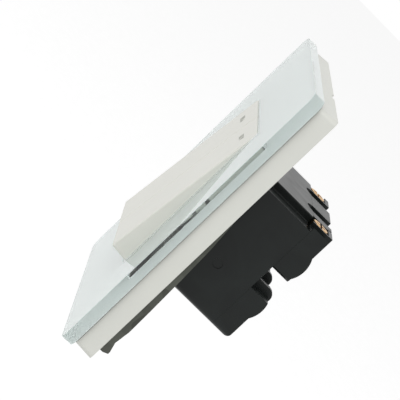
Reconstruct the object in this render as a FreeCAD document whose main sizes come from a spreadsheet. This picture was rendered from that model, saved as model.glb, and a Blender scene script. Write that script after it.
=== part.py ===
import FreeCAD, Part
import math
import os
import Sketcher

# Roller shutter switch: a square glass panel on a moulded frame, two rocking push keys side by side,
# a pressed steel support plate and a dark contact housing with screw terminals at its two ends.
# Frame: X to the right seen from the front, +Y into the wall, +Z up.
# The origin is the middle of the support plate's back, which lies on the wall face.

SIZES = {
    # glass panel
    "panel_side": 86.0,         # side of the square glass
    "panel_corner": 3.0,        # corner radius of the glass
    "glass_thick": 3.2,         # glass thickness
    "glass_arris": 0.14,        # polished chamfer round the glass edges
    "film_thick": 0.3,          # paint and adhesive layer behind the glass
    "film_inset": 0.8,          # paint layer's edge inside the glass edge
    # moulded panel frame behind the glass
    "frame_depth": 5.3,         # from the wall face to the film
    "frame_inset": 1.03,        # outer side at the wall face, inside the glass edge
    "frame_draft": 3.5,         # draft of the frame's sides, degrees
    "frame_corner": 1.4,        # corner radius of the frame
    "frame_wall": 2.0,          # frame side wall
    "frame_web": 1.6,           # front web that carries the glass
    "pry_width": 5.0,           # screwdriver notch in the frame's upper edge
    "pry_depth": 0.6,
    "pry_offset": 10.0,         # notch centre, to the right of the middle
    "hook_width": 5.0,          # hooks that snap behind the support plate
    "hook_thick": 1.2,
    "hook_barb": 0.6,
    "hook_side": 24.0,          # hooks to each side of the middle
    "hook_inset": 2.5,          # hooks inside the plate's upper and lower edges
    "hook_tail": 0.9,           # barb's end behind the wall face
    "barb_thick": 0.8,
    # keys and the opening they move in
    "key_width": 21.85,
    "key_height": 46.3,
    "key_depth": 5.5,           # skirt depth, from the key face
    "key_wall": 1.2,            # skirt wall
    "key_roof": 1.4,            # wall under the key face
    "key_corner": 0.6,
    "key_round": 0.35,          # rounding of the key face's edges
    "key_gap": 0.3,             # gap between the two keys
    "key_rise": 3.7,            # key face in front of the hinge axis
    "key_tilt": 6.19,           # rest tilt, degrees: upper ends flush, lower ends out
    "hinge_reach": 7.6,         # hinge axis in front of the wall face
    "side_clear": 0.4,          # opening beside the keys
    "end_clear": 0.65,          # opening above and below the keys, for their swing
    "opening_corner": 0.8,
    "web_clear": 0.7,           # the frame's opening is this much wider than the glass
    "window_width": 1.3,        # small notches in the outer skirt
    "window_deep": 1.2,
    "window_low": -0.3,         # height of the lower notch
    "window_high": 4.1,
    "clip_high": 10.8,          # clips that hold the rocker, above and below the axis
    "clip_thick": 1.0,
    "clip_width": 3.6,
    "clip_barb": 0.6,
    # rocker under each key
    "rocker_side": 4.1,         # rocker's inner end
    "rocker_width": 14.0,
    "rocker_height": 20.0,
    "rocker_thick": 1.5,
    "hub_radius": 2.2,
    "trunnion_radius": 1.1,
    "trunnion_clear": 0.05,     # running clearance in the lug
    "nose_inset": 5.7,          # nose above the lower end of the housing's cavity
    "nose_reach": 6.7,          # nose centre behind the hinge axis
    "nose_radius": 1.5,
    "nose_width": 5.0,
    "arm_thick": 2.6,
    # bearing cover in front of the support plate
    "cover_width": 55.0,
    "cover_inset": 0.6,         # cover's upper and lower edges inside the housing's
    "cover_flange": 0.8,        # flange on the front of the support plate
    "cover_corner": 1.0,
    "spigot_depth": 2.4,        # spigot behind the flange
    "spigot_wall": 1.6,
    "cover_thick": 1.6,         # cover wall between the lugs
    "lug_thick": 1.4,
    "lug_half": 2.6,            # half the lug's height
    "lug_over": 1.5,            # lug in front of the hinge axis
    "lug_gap": 0.3,             # play between rocker and lug
    "lug_mouth": 1.6,           # snap-in mouth of the bearing
    "nose_slot_half": 3.25,
    "nose_slot_side": 0.5,
    # support plate
    "plate_side_gap": 3.97,     # plate inside the frame's outer sides
    "plate_end_gap": 2.47,      # and inside its upper and lower faces
    "plate_thick": 1.2,
    "plate_corner": 1.0,
    "plate_open_width": 50.0,
    "plate_ledge": 0.1,         # plate's opening inside the housing's cavity
    "screw_pitch": 60.3,        # pitch of the fixing screws in the wall box
    "screw_slot_radius": 2.1,
    "screw_slot_length": 7.0,   # end to end
    "hook_window_width": 6.0,
    "hook_window_height": 2.6,
    "lip_tip": 2.9,             # lip depth at its rounded end
    "lip_dip": 2.15,            # lip depth in the dip beside it
    "lip_depth": 2.63,          # lip depth along its straight part
    "lip_half": 1.63,           # lip depth at the plate's middle
    "lip_run": 12.0,            # where the lip has run out
    # contact housing
    "box_width": 56.0,
    "box_height": 35.8,
    "box_depth": 17.2,          # housing depth, to the terminal blocks
    "box_corner": 2.0,
    "box_side_wall": 1.8,
    "box_end_wall": 3.2,
    "box_floor": 1.6,
    "end_flat": 34.6,           # width of the upper end's raised face
    "end_step": 1.3,            # depth of the steps beside it
    "end_trench": 0.8,          # the right-hand step's trench; the left-hand step is all as deep
    "dimple_radius": 1.3,       # round ejector mark on each side
    "dimple_deep": 0.25,
    "dimple_high": -5.5,
    "dimple_back": 7.1,
    "boss_radius": 2.2,         # screw bosses in the housing
    "cover_boss_radius": 2.4,   # their mates behind the cover
    "rib_thick": 1.6,           # ribs that carry the guide plate
    "rib_under": 1.4,           # ribs end below the block screws
    # terminal blocks
    "block_depth": 5.4,         # depth behind the housing
    "channel_top": 3.4,         # edges of the channel between the two blocks
    "channel_foot": 3.9,
    "block_wall": 0.5,          # wall behind the terminals
    "block_chamfer": 0.65,      # upper block's lower side edges
    "block_round": 1.7,         # rounded lower edge of the lower block's back
    "ridge_inset": 5.0,         # lower block's ridges in the channel, inside its sides
    "ridge_step": 13.8,         # from each outer ridge to the inner one
    "ridge_thick": 1.5,
    "ridge_rise": 2.05,
    "ridge_round": 2.1,
    "ridge_back": 1.3,          # ridges behind the block's back
    "hump_rise": 1.0,           # rounded humps on the blocks' backs
    "hump_length": 13.5,
    "hump_radius": 7.5,
    "hump_middle_upper": 8.3,   # hump axes above and below the middle
    "hump_middle_lower": 6.3,
    "pad_rise": 1.4,            # flat pads between the humps
    "slot_width": 5.8,          # open slots in the upper end
    "slot_deep": 2.2,
    "slot_lead": 1.8,           # slot in front of the block, in the housing
    "slot_left": -8.0,
    "slot_right": 8.5,
    "pocket_half": 2.7,         # half the width of a screw pocket
    "pocket_floor": 3.4,        # screw pocket below the block's end
    "pocket_wall": 0.8,         # wall beside the screw pocket
    "side_wall": 0.8,           # outer wall beside the trench and the right-hand recess
    "rim_side": 0.4,            # rim behind the pocket, wider than it on each side
    # contacts
    "contact_half": 5.0,        # fixed contacts to each side of a plunger
    "bar_thick": 0.8,
    "bar_half": 1.3,            # half the width of a contact bar
    "tip_radius": 1.3,
    "tip_thick": 0.6,
    "contact_over": 0.1,        # gap left between the tips of a closed contact
    "bar_over": 1.4,            # bars' ends above the upper pillars' inner ends
    "line_inset": 1.7,          # line bar's rail inside the cavity
    "line_stem": 2.0,
    "bridge_thick": 0.6,
    "bridge_half": 1.7,         # half the bridge's width
    "plunger_front": 0.25,      # plunger's end in front of the wall face
    "plunger_shoulder": 10.9,
    "plunger_radius": 2.0,
    "plunger_neck": 1.2,
    "head_radius": 1.9,
    "head_thick": 0.5,
    "small_gap": 0.05,          # play of pieces that move together
    "collar_radius": 3.3,
    "collar_front": 0.6,
    "collar_thick": 0.9,
    "guide_front": 7.0,         # guide plate's front face
    "guide_thick": 1.4,
    "guide_clear": 0.1,
    "spring_radius": 2.65,      # mean radius of the return spring
    "spring_wire": 0.4,
    "spring_turns": 5.5,
    # terminals
    "terminal_left": 14.4,      # upper left terminal from the middle
    "terminal_right": 18.5,     # upper right terminal from the middle
    "terminal_low": 16.5,       # lower terminals from the middle
    "wire_over": 2.4,           # wire axis from the pillar's inner end
    "pillar_width": 5.8,
    "pillar_depth": 4.0,
    "pillar_length": 5.6,
    "pillar_inset": 2.7,        # pillar's outer end below the block's end
    "wire_radius": 1.6,
    "wire_entry_radius": 1.9,
    "shank_radius": 1.5,
    "screw_head_radius": 2.5,
    "screw_head_thick": 1.6,
    "tab_half": 0.4,            # half the thickness of a bar's tab
    # fixings
    "cover_screw_side": 22.2,
    "cover_screw_inset": 2.9,   # cover screws inside the cavity's ends
    "cover_screw_length": 8.0,
    "block_screw_side": 23.0,
    "block_screw_step": 4.4,    # block screws nearer the middle than the cover screws
    "block_screw_length": 5.0,
    "small_screw_radius": 1.1,
    "small_head_radius": 1.9,
    "small_head_thick": 1.2,
    "driver_slot": 0.6,         # width of the slot in a screw head
    "driver_deep": 0.6,
    "thread_clear": 0.05,
    "fit_gap": 0.2,             # gap round parts that are assembled with play
}


class Size:
    """A length with its value and the sheet expression that gives it."""

    def __init__(self, value, text):
        self.value = float(value)
        self.text = text

    def __add__(self, other):
        other = as_size(other)
        return Size(self.value + other.value, f"({self.text} + {other.text})")

    def __sub__(self, other):
        other = as_size(other)
        return Size(self.value - other.value, f"({self.text} - {other.text})")

    def __mul__(self, other):
        other = as_size(other)
        return Size(self.value * other.value, f"({self.text} * {other.text})")

    def __truediv__(self, other):
        other = as_size(other)
        return Size(self.value / other.value, f"({self.text} / {other.text})")

    def __neg__(self):
        return Size(-self.value, f"(0 - {self.text})")

    def __radd__(self, other):
        return as_size(other) + self

    def __rsub__(self, other):
        return as_size(other) - self

    def __rmul__(self, other):
        return as_size(other) * self


def as_size(number):
    return number if isinstance(number, Size) else Size(number, repr(float(number)))


doc = FreeCAD.newDocument("RollerShutterSwitch")

# Sheet of driving dimensions
sheet = doc.addObject("Spreadsheet::Sheet", "Sizes")
named = {}
for row, (name, number) in enumerate(SIZES.items(), start=1):
    sheet.set(f"A{row}", name)
    sheet.set(f"B{row}", str(number))
    sheet.setAlias(f"B{row}", name)
    named[name] = Size(number, f"Sizes.{name}")
doc.recompute()


class Named:
    """The sheet's sizes, read as attributes."""

    def __getattr__(self, name):
        return named[name]


s = Named()
ZERO = as_size(0)
pieces = []


# Drawing in sketches: each point is fixed from the origin by two driven distances

def at(across, up):
    return FreeCAD.Vector(across.value, up.value, 0)


def drive(sketch, size, kind, *where):
    index = sketch.addConstraint(Sketcher.Constraint(kind, *where, size.value))
    sketch.setExpression(f"Constraints[{index}]", size.text)


def fix_point(sketch, item, end, across, up):
    drive(sketch, across, "DistanceX", -1, 1, item, end)
    drive(sketch, up, "DistanceY", -1, 1, item, end)


def outline(points):
    """A closed shape of straight lines through the points."""
    points = [(as_size(across), as_size(up)) for across, up in points]

    def draw(sketch):
        corners = [at(*point) for point in points]
        lines = [
            sketch.addGeometry(Part.LineSegment(start, end))
            for start, end in zip(corners, corners[1:] + corners[:1])
        ]
        for line, after in zip(lines, lines[1:] + lines[:1]):
            sketch.addConstraint(Sketcher.Constraint("Coincident", line, 2, after, 1))
        for line, point in zip(lines, points):
            fix_point(sketch, line, 1, *point)

    return draw


def rect(left, right, low, high):
    return outline([(left, low), (right, low), (right, high), (left, high)])


def rounded(left, right, low, high, radius):
    """A rectangle with four corner arcs."""
    left, right, low, high = (as_size(edge) for edge in (left, right, low, high))

    def draw(sketch):
        centres = [
            (right - radius, low + radius),
            (right - radius, high - radius),
            (left + radius, high - radius),
            (left + radius, low + radius),
        ]
        arcs = []
        for turn, centre in enumerate(centres):
            start = (turn - 1) * math.pi / 2
            circle = Part.Circle(at(*centre), FreeCAD.Vector(0, 0, 1), radius.value)
            arcs.append(sketch.addGeometry(Part.ArcOfCircle(circle, start, start + math.pi / 2)))
            fix_point(sketch, arcs[-1], 3, *centre)
            drive(sketch, radius, "Radius", arcs[-1])
            ends = ("Vertical", "Horizontal") if turn % 2 == 0 else ("Horizontal", "Vertical")
            for end, kind in enumerate(ends, start=1):
                sketch.addConstraint(Sketcher.Constraint(kind, arcs[-1], end, arcs[-1], 3))
        for arc, after in zip(arcs, arcs[1:] + arcs[:1]):
            start = sketch.Geometry[arc].EndPoint
            line = sketch.addGeometry(Part.LineSegment(start, sketch.Geometry[after].StartPoint))
            sketch.addConstraint(Sketcher.Constraint("Coincident", arc, 2, line, 1))
            sketch.addConstraint(Sketcher.Constraint("Coincident", line, 2, after, 1))

    return draw


def disc(across, up, radius):
    across, up = as_size(across), as_size(up)

    def draw(sketch):
        item = sketch.addGeometry(Part.Circle(at(across, up), FreeCAD.Vector(0, 0, 1), radius.value))
        fix_point(sketch, item, 3, across, up)
        drive(sketch, radius, "Radius", item)

    return draw


def long_hole(across, up, radius, length):
    """A slot with round ends, long in the second direction."""
    across, up = as_size(across), as_size(up)
    half = length / 2 - radius

    def draw(sketch):
        arcs = []
        for start, centre in ((0, (across, up + half)), (math.pi, (across, up - half))):
            circle = Part.Circle(at(*centre), FreeCAD.Vector(0, 0, 1), radius.value)
            arcs.append(sketch.addGeometry(Part.ArcOfCircle(circle, start, start + math.pi)))
            fix_point(sketch, arcs[-1], 3, *centre)
            drive(sketch, radius, "Radius", arcs[-1])
            for end in (1, 2):
                sketch.addConstraint(Sketcher.Constraint("Horizontal", arcs[-1], end, arcs[-1], 3))
        for arc, after in zip(arcs, arcs[1:] + arcs[:1]):
            start = sketch.Geometry[arc].EndPoint
            line = sketch.addGeometry(Part.LineSegment(start, sketch.Geometry[after].StartPoint))
            sketch.addConstraint(Sketcher.Constraint("Coincident", arc, 2, line, 1))
            sketch.addConstraint(Sketcher.Constraint("Coincident", line, 2, after, 1))

    return draw


def hump(level, middle, rise, radius):
    """A circle segment on the line across = level, bulging by rise."""
    centre = level + rise - radius
    half = math.sqrt(radius.value**2 - (radius.value - rise.value) ** 2)
    angle = math.asin(half / radius.value)

    def draw(sketch):
        circle = Part.Circle(at(centre, middle), FreeCAD.Vector(0, 0, 1), radius.value)
        arc = sketch.addGeometry(Part.ArcOfCircle(circle, -angle, angle))
        ends = sketch.Geometry[arc]
        line = sketch.addGeometry(Part.LineSegment(ends.EndPoint, ends.StartPoint))
        fix_point(sketch, arc, 3, centre, middle)
        drive(sketch, radius, "Radius", arc)
        drive(sketch, level, "DistanceX", -1, 1, arc, 1)
        drive(sketch, level, "DistanceX", -1, 1, arc, 2)
        sketch.addConstraint(Sketcher.Constraint("Coincident", arc, 2, line, 1))
        sketch.addConstraint(Sketcher.Constraint("Coincident", line, 2, arc, 1))

    return draw


# Solid features on a body. A sketch plane is named by the axis it stands across: on "Y" a sketch is
# drawn in X and Z, on "X" in Y and Z, on "Z" in X and Y. Lengths run toward the positive axis.

PLANES = {"X": ("YZ_Plane", 1), "Y": ("XZ_Plane", -1), "Z": ("XY_Plane", 1)}


def body(label):
    made = doc.addObject("PartDesign::Body", label)
    made.Label = label
    pieces.append(made)
    return made


def feature(owner, kind, axis, level, length, shapes, back=False):
    """Draws the shapes across the axis at a level and pads or pockets them along it."""
    role, sign = PLANES[axis]
    level = as_size(level)
    sketch = owner.newObject("Sketcher::SketchObject", "Sketch")
    sketch.AttachmentSupport = [(next(o for o in owner.Origin.OriginFeatures if o.Role == role), "")]
    sketch.MapMode = "FlatFace"
    sketch.setExpression("AttachmentOffset.Base.z", (level if sign > 0 else -level).text)
    for draw in shapes:
        draw(sketch)
    made = owner.newObject(f"PartDesign::{kind}", kind)
    made.Profile = sketch
    made.setExpression("Length", as_size(length).text)
    along = sign > 0 if kind == "Pad" else sign < 0
    made.Reversed = along == back
    sketch.Visibility = False
    doc.recompute()
    return made


def pad(owner, axis, level, length, *shapes, back=False):
    return feature(owner, "Pad", axis, level, length, shapes, back)


def pocket(owner, axis, level, length, *shapes, back=False):
    return feature(owner, "Pocket", axis, level, length, shapes, back)


def ease(owner, kind, size, test):
    """Rounds or chamfers the body's edges whose ends and middle all pass the test."""
    last = owner.Tip
    names = []
    for index, edge in enumerate(last.Shape.Edges, start=1):
        middle = edge.valueAt((edge.FirstParameter + edge.LastParameter) / 2)
        if all(test(point) for point in [v.Point for v in edge.Vertexes] + [middle]):
            names.append(f"Edge{index}")
    made = owner.newObject(f"PartDesign::{kind}", kind)
    made.Base = (last, names)
    made.setExpression("Radius" if kind == "Fillet" else "Size", size.text)
    doc.recompute()
    return made


def on_level(*levels):
    return lambda point: any(abs(point.y - level.value) < 1e-4 for level in levels)


# Simple solids, for fasteners and turned pieces

TURNS = {
    "X": FreeCAD.Rotation(FreeCAD.Vector(0, 1, 0), 90),
    "Y": FreeCAD.Rotation(FreeCAD.Vector(1, 0, 0), -90),
    "Z": FreeCAD.Rotation(),
    "-Z": FreeCAD.Rotation(FreeCAD.Vector(1, 0, 0), 180),
}


def put(made, base, turn="Z"):
    made.Placement = FreeCAD.Placement(FreeCAD.Vector(*(as_size(b).value for b in base)), TURNS[turn])
    for axis, size in zip("xyz", base):
        made.setExpression(f"Placement.Base.{axis}", as_size(size).text)
    return made


def rod(base, turn, radius, length):
    made = doc.addObject("Part::Cylinder", "Rod")
    made.setExpression("Radius", radius.text)
    made.setExpression("Height", as_size(length).text)
    return put(made, base, turn)


def block(low, high):
    made = doc.addObject("Part::Box", "Block")
    for edge, start, end in zip(("Length", "Width", "Height"), low, high):
        made.setExpression(edge, (as_size(end) - as_size(start)).text)
    return put(made, low)


def fuse(*items, label="Joined"):
    made = doc.addObject("Part::MultiFuse", label)
    made.Shapes = list(items)
    made.Refine = True
    return made


def cut(base, *tools, label="Trimmed"):
    made = doc.addObject("Part::Cut", label)
    made.Base = base
    made.Tool = tools[0] if len(tools) == 1 else fuse(*tools)
    return made


def group(label, *items):
    made = doc.addObject("Part::Compound", label)
    made.Links = list(items)
    return piece(made, label)


def piece(made, label):
    made.Label = label
    pieces.append(made)
    return made


SIDES = ((-1, "up"), (1, "down"))
BOTH = (-1, 1)

# Levels along Y, from the front to the back
film_front = -(s.frame_depth + s.film_thick)
glass_front = film_front - s.glass_thick
hinge_level = -s.hinge_reach
plate_front = -s.plate_thick
cover_front = plate_front - s.cover_flange
cover_back = cover_front + s.cover_thick
spigot_back = plate_front + s.spigot_depth
floor_front = s.box_depth - s.box_floor
bar_front = floor_front - s.bar_thick
fixed_tip_front = bar_front - s.tip_thick
bridge_front = s.plunger_shoulder + s.small_gap
bridge_back = bridge_front + s.bridge_thick
block_back = s.box_depth + s.block_depth
pillar_back = block_back - s.block_wall - s.fit_gap / 2
pillar_front = pillar_back - s.pillar_depth

# Half widths and places that several pieces share
half_panel = s.panel_side / 2
keys_half = s.key_width + s.key_gap / 2
open_half_x = keys_half + s.side_clear
open_half_z = s.key_height / 2 + s.end_clear
gang_x = s.rocker_side + s.rocker_width / 2
box_x = s.box_width / 2
box_z = s.box_height / 2
cavity_x = box_x - s.box_side_wall
cavity_z = box_z - s.box_end_wall
plate_open_z = cavity_z - s.plate_ledge
spigot_x = s.plate_open_width / 2 - s.fit_gap
spigot_z = plate_open_z - s.fit_gap
cover_z = box_z - s.cover_inset
nose_lever = cavity_z - s.nose_inset
cover_screw_high = cavity_z - s.cover_screw_inset
block_screw_high = cover_screw_high - s.block_screw_step
rib_half = block_screw_high - s.rib_under
pillar_high = box_z - s.pillar_inset
pillar_low = pillar_high - s.pillar_length
terminal_high = pillar_low + s.wire_over
bar_turn = pillar_low + s.bar_over
line_low = cavity_z - s.line_inset
screw_level = pillar_back - s.pillar_depth / 2
lug_inner = s.rocker_side - s.lug_gap - s.lug_thick
lug_outer = s.rocker_side + s.rocker_width + s.lug_gap
terminals = (
    (-s.terminal_left, 1, -1),
    (s.terminal_right, 1, 1),
    (-s.terminal_low, -1, -1),
    (s.terminal_low, -1, 1),
)


def span(sign, near, far):
    """Two coordinates in rising order, from distances to one side of the middle."""
    return (near, far) if sign > 0 else (-far, -near)


def mirrored_rects(near, far, low, high):
    return [rect(*span(x, near, far), *span(z, low, high)) for x in BOTH for z in BOTH]


def four(side, high):
    return [(side * x, high * z) for x in BOTH for z in BOTH]


# Glass panel
glass = body("glass_panel")
pad(glass, "Y", glass_front, s.glass_thick,
    rounded(-half_panel, half_panel, -half_panel, half_panel, s.panel_corner),
    rounded(-open_half_x, open_half_x, -open_half_z, open_half_z, s.opening_corner))
ease(glass, "Chamfer", s.glass_arris, on_level(glass_front, film_front))

# Paint and adhesive layer behind the glass
film = body("glass_film")
half_film = half_panel - s.film_inset
pad(film, "Y", film_front, s.film_thick,
    rounded(-half_film, half_film, -half_film, half_film, s.panel_corner),
    rounded(-open_half_x - s.film_inset, open_half_x + s.film_inset,
            -open_half_z - s.film_inset, open_half_z + s.film_inset, s.opening_corner))

# Panel frame with hooks for the support plate
frame = body("panel_frame")
half_frame = half_panel - s.frame_inset
shell = pad(frame, "Y", 0, s.frame_depth,
            rounded(-half_frame, half_frame, -half_frame, half_frame, s.frame_corner), back=True)
shell.setExpression("TaperAngle", (-s.frame_draft).text)
frame_in = half_frame - s.frame_wall
web_back = -s.frame_depth + s.frame_web
pocket(frame, "Y", web_back, s.frame_depth,
       rounded(-frame_in, frame_in, -frame_in, frame_in, s.opening_corner))
web_x = open_half_x + s.web_clear
web_z = open_half_z + s.web_clear
pocket(frame, "Y", -s.frame_depth, s.frame_depth,
       rounded(-web_x, web_x, -web_z, web_z, s.opening_corner))
pocket(frame, "Y", -s.pry_depth, s.pry_depth,
       rect(s.pry_offset - s.pry_width / 2, s.pry_offset + s.pry_width / 2,
            half_frame - s.frame_wall * 2, half_frame + 1))
hook_near = s.hook_side - s.hook_width / 2
hook_far = s.hook_side + s.hook_width / 2
plate_x = half_frame - s.plate_side_gap
plate_z = half_frame - s.plate_end_gap
hook_high = plate_z - s.hook_inset
hook_out = hook_high + s.hook_thick / 2
pad(frame, "Y", web_back, s.hook_tail - web_back,
    *mirrored_rects(hook_near, hook_far, hook_out - s.hook_thick, hook_out))
pad(frame, "Y", s.hook_tail - s.barb_thick, s.barb_thick,
    *mirrored_rects(hook_near, hook_far, hook_high, hook_out + s.hook_barb))

# Support plate with its two bent lips
plate = body("support_plate")
pad(plate, "Y", plate_front, s.plate_thick,
    rounded(-plate_x, plate_x, -plate_z, plate_z, s.plate_corner))
window_out = hook_out + s.fit_gap
pocket(plate, "Y", plate_front, s.plate_thick,
       rect(-s.plate_open_width / 2, s.plate_open_width / 2,
            -plate_open_z, plate_open_z),
       *[long_hole(0, s.screw_pitch / 2 * z, s.screw_slot_radius, s.screw_slot_length) for z in BOTH],
       *mirrored_rects(s.hook_side - s.hook_window_width / 2, s.hook_side + s.hook_window_width / 2,
                       window_out - s.hook_window_height, window_out))
lip = [
    (plate_front, plate_z),
    (s.lip_tip * 0.55, plate_z),
    (s.lip_tip, plate_z * 0.985),
    (s.lip_tip, plate_z * 0.967),
    (s.lip_dip, plate_z * 0.9),
    (s.lip_dip * 1.16, plate_z * 0.823),
    (s.lip_depth, plate_z * 0.79),
    (s.lip_depth * 0.94, plate_z * 0.595),
    (s.lip_depth * 0.81, plate_z * 0.333),
    (s.lip_half, plate_z * 0.056),
    (s.lip_half * 0.35, s.lip_run * -0.767),
    (ZERO, -s.lip_run),
    (plate_front, -s.lip_run),
]
for sign in BOTH:
    edge = plate_x if sign > 0 else -plate_x
    pad(plate, "X", edge, s.plate_thick, outline([(deep, up * -sign) for deep, up in lip]),
        back=sign > 0)

# Bearing cover: flange, spigot, lugs for the rockers
cover = body("module_cover")
pad(cover, "Y", cover_front, s.cover_flange,
    rounded(-s.cover_width / 2, s.cover_width / 2, -cover_z, cover_z, s.cover_corner))
pad(cover, "Y", plate_front, s.spigot_depth,
    rounded(-spigot_x, spigot_x, -spigot_z, spigot_z, s.cover_corner))
well_x = spigot_x - s.spigot_wall
well_z = spigot_z - s.spigot_wall
pocket(cover, "Y", cover_back, s.spigot_depth, rect(-well_x, well_x, -well_z, well_z))
cover_screws = four(s.cover_screw_side, cover_screw_high)
pad(cover, "Y", cover_back, spigot_back - cover_back,
    *[disc(x, z, s.cover_boss_radius) for x, z in cover_screws])
lug_front = hinge_level - s.lug_over
lug_spans = [
    span(sign, near, near + s.lug_thick) for sign in BOTH for near in (lug_inner, lug_outer)
]
pad(cover, "Y", lug_front, cover_front - lug_front,
    *[rect(*ends, -s.lug_half, s.lug_half) for ends in lug_spans])
lugs_end = lug_outer + s.lug_thick
pocket(cover, "X", -lugs_end - 1, lugs_end * 2 + 2,
       disc(hinge_level, 0, s.trunnion_radius + s.trunnion_clear))
pocket(cover, "Y", lug_front, s.lug_over,
       *[rect(*ends, -s.lug_mouth / 2, s.lug_mouth / 2) for ends in lug_spans])
slot_x = s.nose_width / 2 + s.nose_slot_side
pocket(cover, "Y", cover_front, s.cover_thick,
       *[rect(*span(sign, gang_x - slot_x, gang_x + slot_x),
              -nose_lever - s.nose_slot_half, -nose_lever + s.nose_slot_half)
         for sign in BOTH],
       *[disc(x, z, s.small_screw_radius + s.fit_gap) for x, z in cover_screws])
pocket(cover, "Y", cover_back, s.spigot_depth,
       *[disc(x, z, s.small_screw_radius + s.fit_gap) for x, z in cover_screws])

# Keys and rockers, drawn about the hinge axis and then tilted to their rest position
key_x = s.key_gap / 2
roof_back = -s.key_rise + s.key_roof
platform_back = roof_back + s.rocker_thick
clip_low = s.clip_high - s.clip_thick / 2
clip_out = s.clip_high + s.clip_thick / 2
clip_inner = gang_x + s.nose_width / 2 + s.fit_gap * 2
tilted = []
for sign, gang in SIDES:
    cap = body(f"key_{gang}_cap")
    left, right = span(sign, key_x, key_x + s.key_width)
    half_z = s.key_height / 2
    pad(cap, "Y", -s.key_rise, s.key_depth, rounded(left, right, -half_z, half_z, s.key_corner))
    pocket(cap, "Y", roof_back, s.key_depth,
           rect(left + s.key_wall, right - s.key_wall, -half_z + s.key_wall, half_z - s.key_wall))
    clips = span(sign, clip_inner, clip_inner + s.clip_width)
    barb_front = platform_back + s.small_gap
    pad(cap, "Y", roof_back, barb_front + s.clip_barb - roof_back,
        *[rect(*clips, *span(z, clip_low, clip_out)) for z in BOTH])
    pad(cap, "Y", barb_front, s.clip_barb,
        *[rect(*clips, *span(z, clip_low - s.clip_barb, clip_out)) for z in BOTH])
    skirt_back = s.key_depth - s.key_rise
    pocket(cap, "Y", skirt_back - s.window_deep, s.window_deep,
           *[rect(*span(sign, key_x + s.key_width - s.key_wall, key_x + s.key_width + 1),
                  up - s.window_width / 2, up + s.window_width / 2)
             for up in (s.window_low, s.window_high)])
    ease(cap, "Fillet", s.key_round, on_level(-s.key_rise))
    tilted.append(cap)

    rocker = body(f"rocker_{gang}")
    left, right = span(sign, s.rocker_side, s.rocker_side + s.rocker_width)
    pad(rocker, "Y", roof_back, s.rocker_thick,
        rect(left, right, -s.rocker_height / 2, s.rocker_height / 2))
    pad(rocker, "X", left, s.rocker_width, disc(0, 0, s.hub_radius))
    ends = span(sign, lug_inner + s.fit_gap, lug_outer + s.lug_thick - s.fit_gap)
    pad(rocker, "X", ends[0], ends[1] - ends[0], disc(0, 0, s.trunnion_radius))
    nose_left = span(sign, gang_x - s.nose_width / 2, gang_x + s.nose_width / 2)[0]
    pad(rocker, "X", nose_left, s.nose_width,
        rect(roof_back, s.nose_reach, -nose_lever - s.arm_thick / 2, -nose_lever + s.arm_thick / 2))
    pad(rocker, "X", nose_left, s.nose_width, disc(s.nose_reach, -nose_lever, s.nose_radius))
    tilted.append(rocker)
for made in tilted:
    made.Placement = FreeCAD.Placement(
        FreeCAD.Vector(0, hinge_level.value, 0),
        FreeCAD.Rotation(FreeCAD.Vector(1, 0, 0), -s.key_tilt.value),
    )
    made.setExpression("Placement.Base.y", hinge_level.text)

# Contact housing
housing = body("housing_body")
step_z = box_z - s.end_step
pad(housing, "Y", 0, s.box_depth, rect(-box_x, box_x, -box_z, step_z))
ease(housing, "Fillet", s.box_corner,
     lambda point: abs(abs(point.x) - box_x.value) + abs(point.z + box_z.value) < 1e-4)
pad(housing, "Y", 0, s.box_depth, rect(-s.end_flat / 2, s.end_flat / 2, cavity_z, box_z))
pocket(housing, "Z", step_z, s.end_trench,
       rect(s.end_flat / 2, box_x - s.side_wall, -1, s.box_depth + 1),
       rect(-box_x - 1, -s.end_flat / 2, -1, s.box_depth + 1), back=True)
pocket(housing, "Y", 0, floor_front, rect(-cavity_x, cavity_x, -cavity_z, cavity_z))
pad(housing, "Y", spigot_back, floor_front - spigot_back,
    *[disc(x, z, s.boss_radius) for x, z in cover_screws])
guide_back = s.guide_front + s.guide_thick
pad(housing, "Y", guide_back, floor_front - guide_back,
    *[rect(*span(sign, cavity_x - s.rib_thick, cavity_x + s.fit_gap), -rib_half, rib_half)
      for sign in BOTH])
pocket(housing, "Y", spigot_back, s.cover_screw_length,
       *[disc(x, z, s.small_screw_radius + s.thread_clear) for x, z in cover_screws])
block_screws = four(s.block_screw_side, block_screw_high)
tab_x = s.bar_half + s.fit_gap
tab_z = s.tab_half + s.fit_gap
tabs = [
    (x, bar_turn if end > 0 else -line_low) for x, end, out in terminals
]
pocket(housing, "Y", floor_front, s.box_floor,
       *[disc(x, z, s.small_screw_radius + s.fit_gap) for x, z in block_screws],
       *[rect(x - tab_x, x + tab_x, z - tab_z, z + tab_z) for x, z in tabs])
slot_half = s.slot_width / 2
for middle in (s.slot_left, s.slot_right):
    arc_level = s.box_depth - s.slot_lead + slot_half
    pocket(housing, "Z", box_z, s.slot_deep,
           rect(middle - slot_half, middle + slot_half, arc_level, s.box_depth + 1), back=True)
    pocket(housing, "Z", box_z, s.slot_deep, disc(middle, arc_level, slot_half), back=True)
for sign in BOTH:
    pocket(housing, "X", box_x * sign, s.dimple_deep,
           disc(s.dimple_back, s.dimple_high, s.dimple_radius), back=sign > 0)

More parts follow.
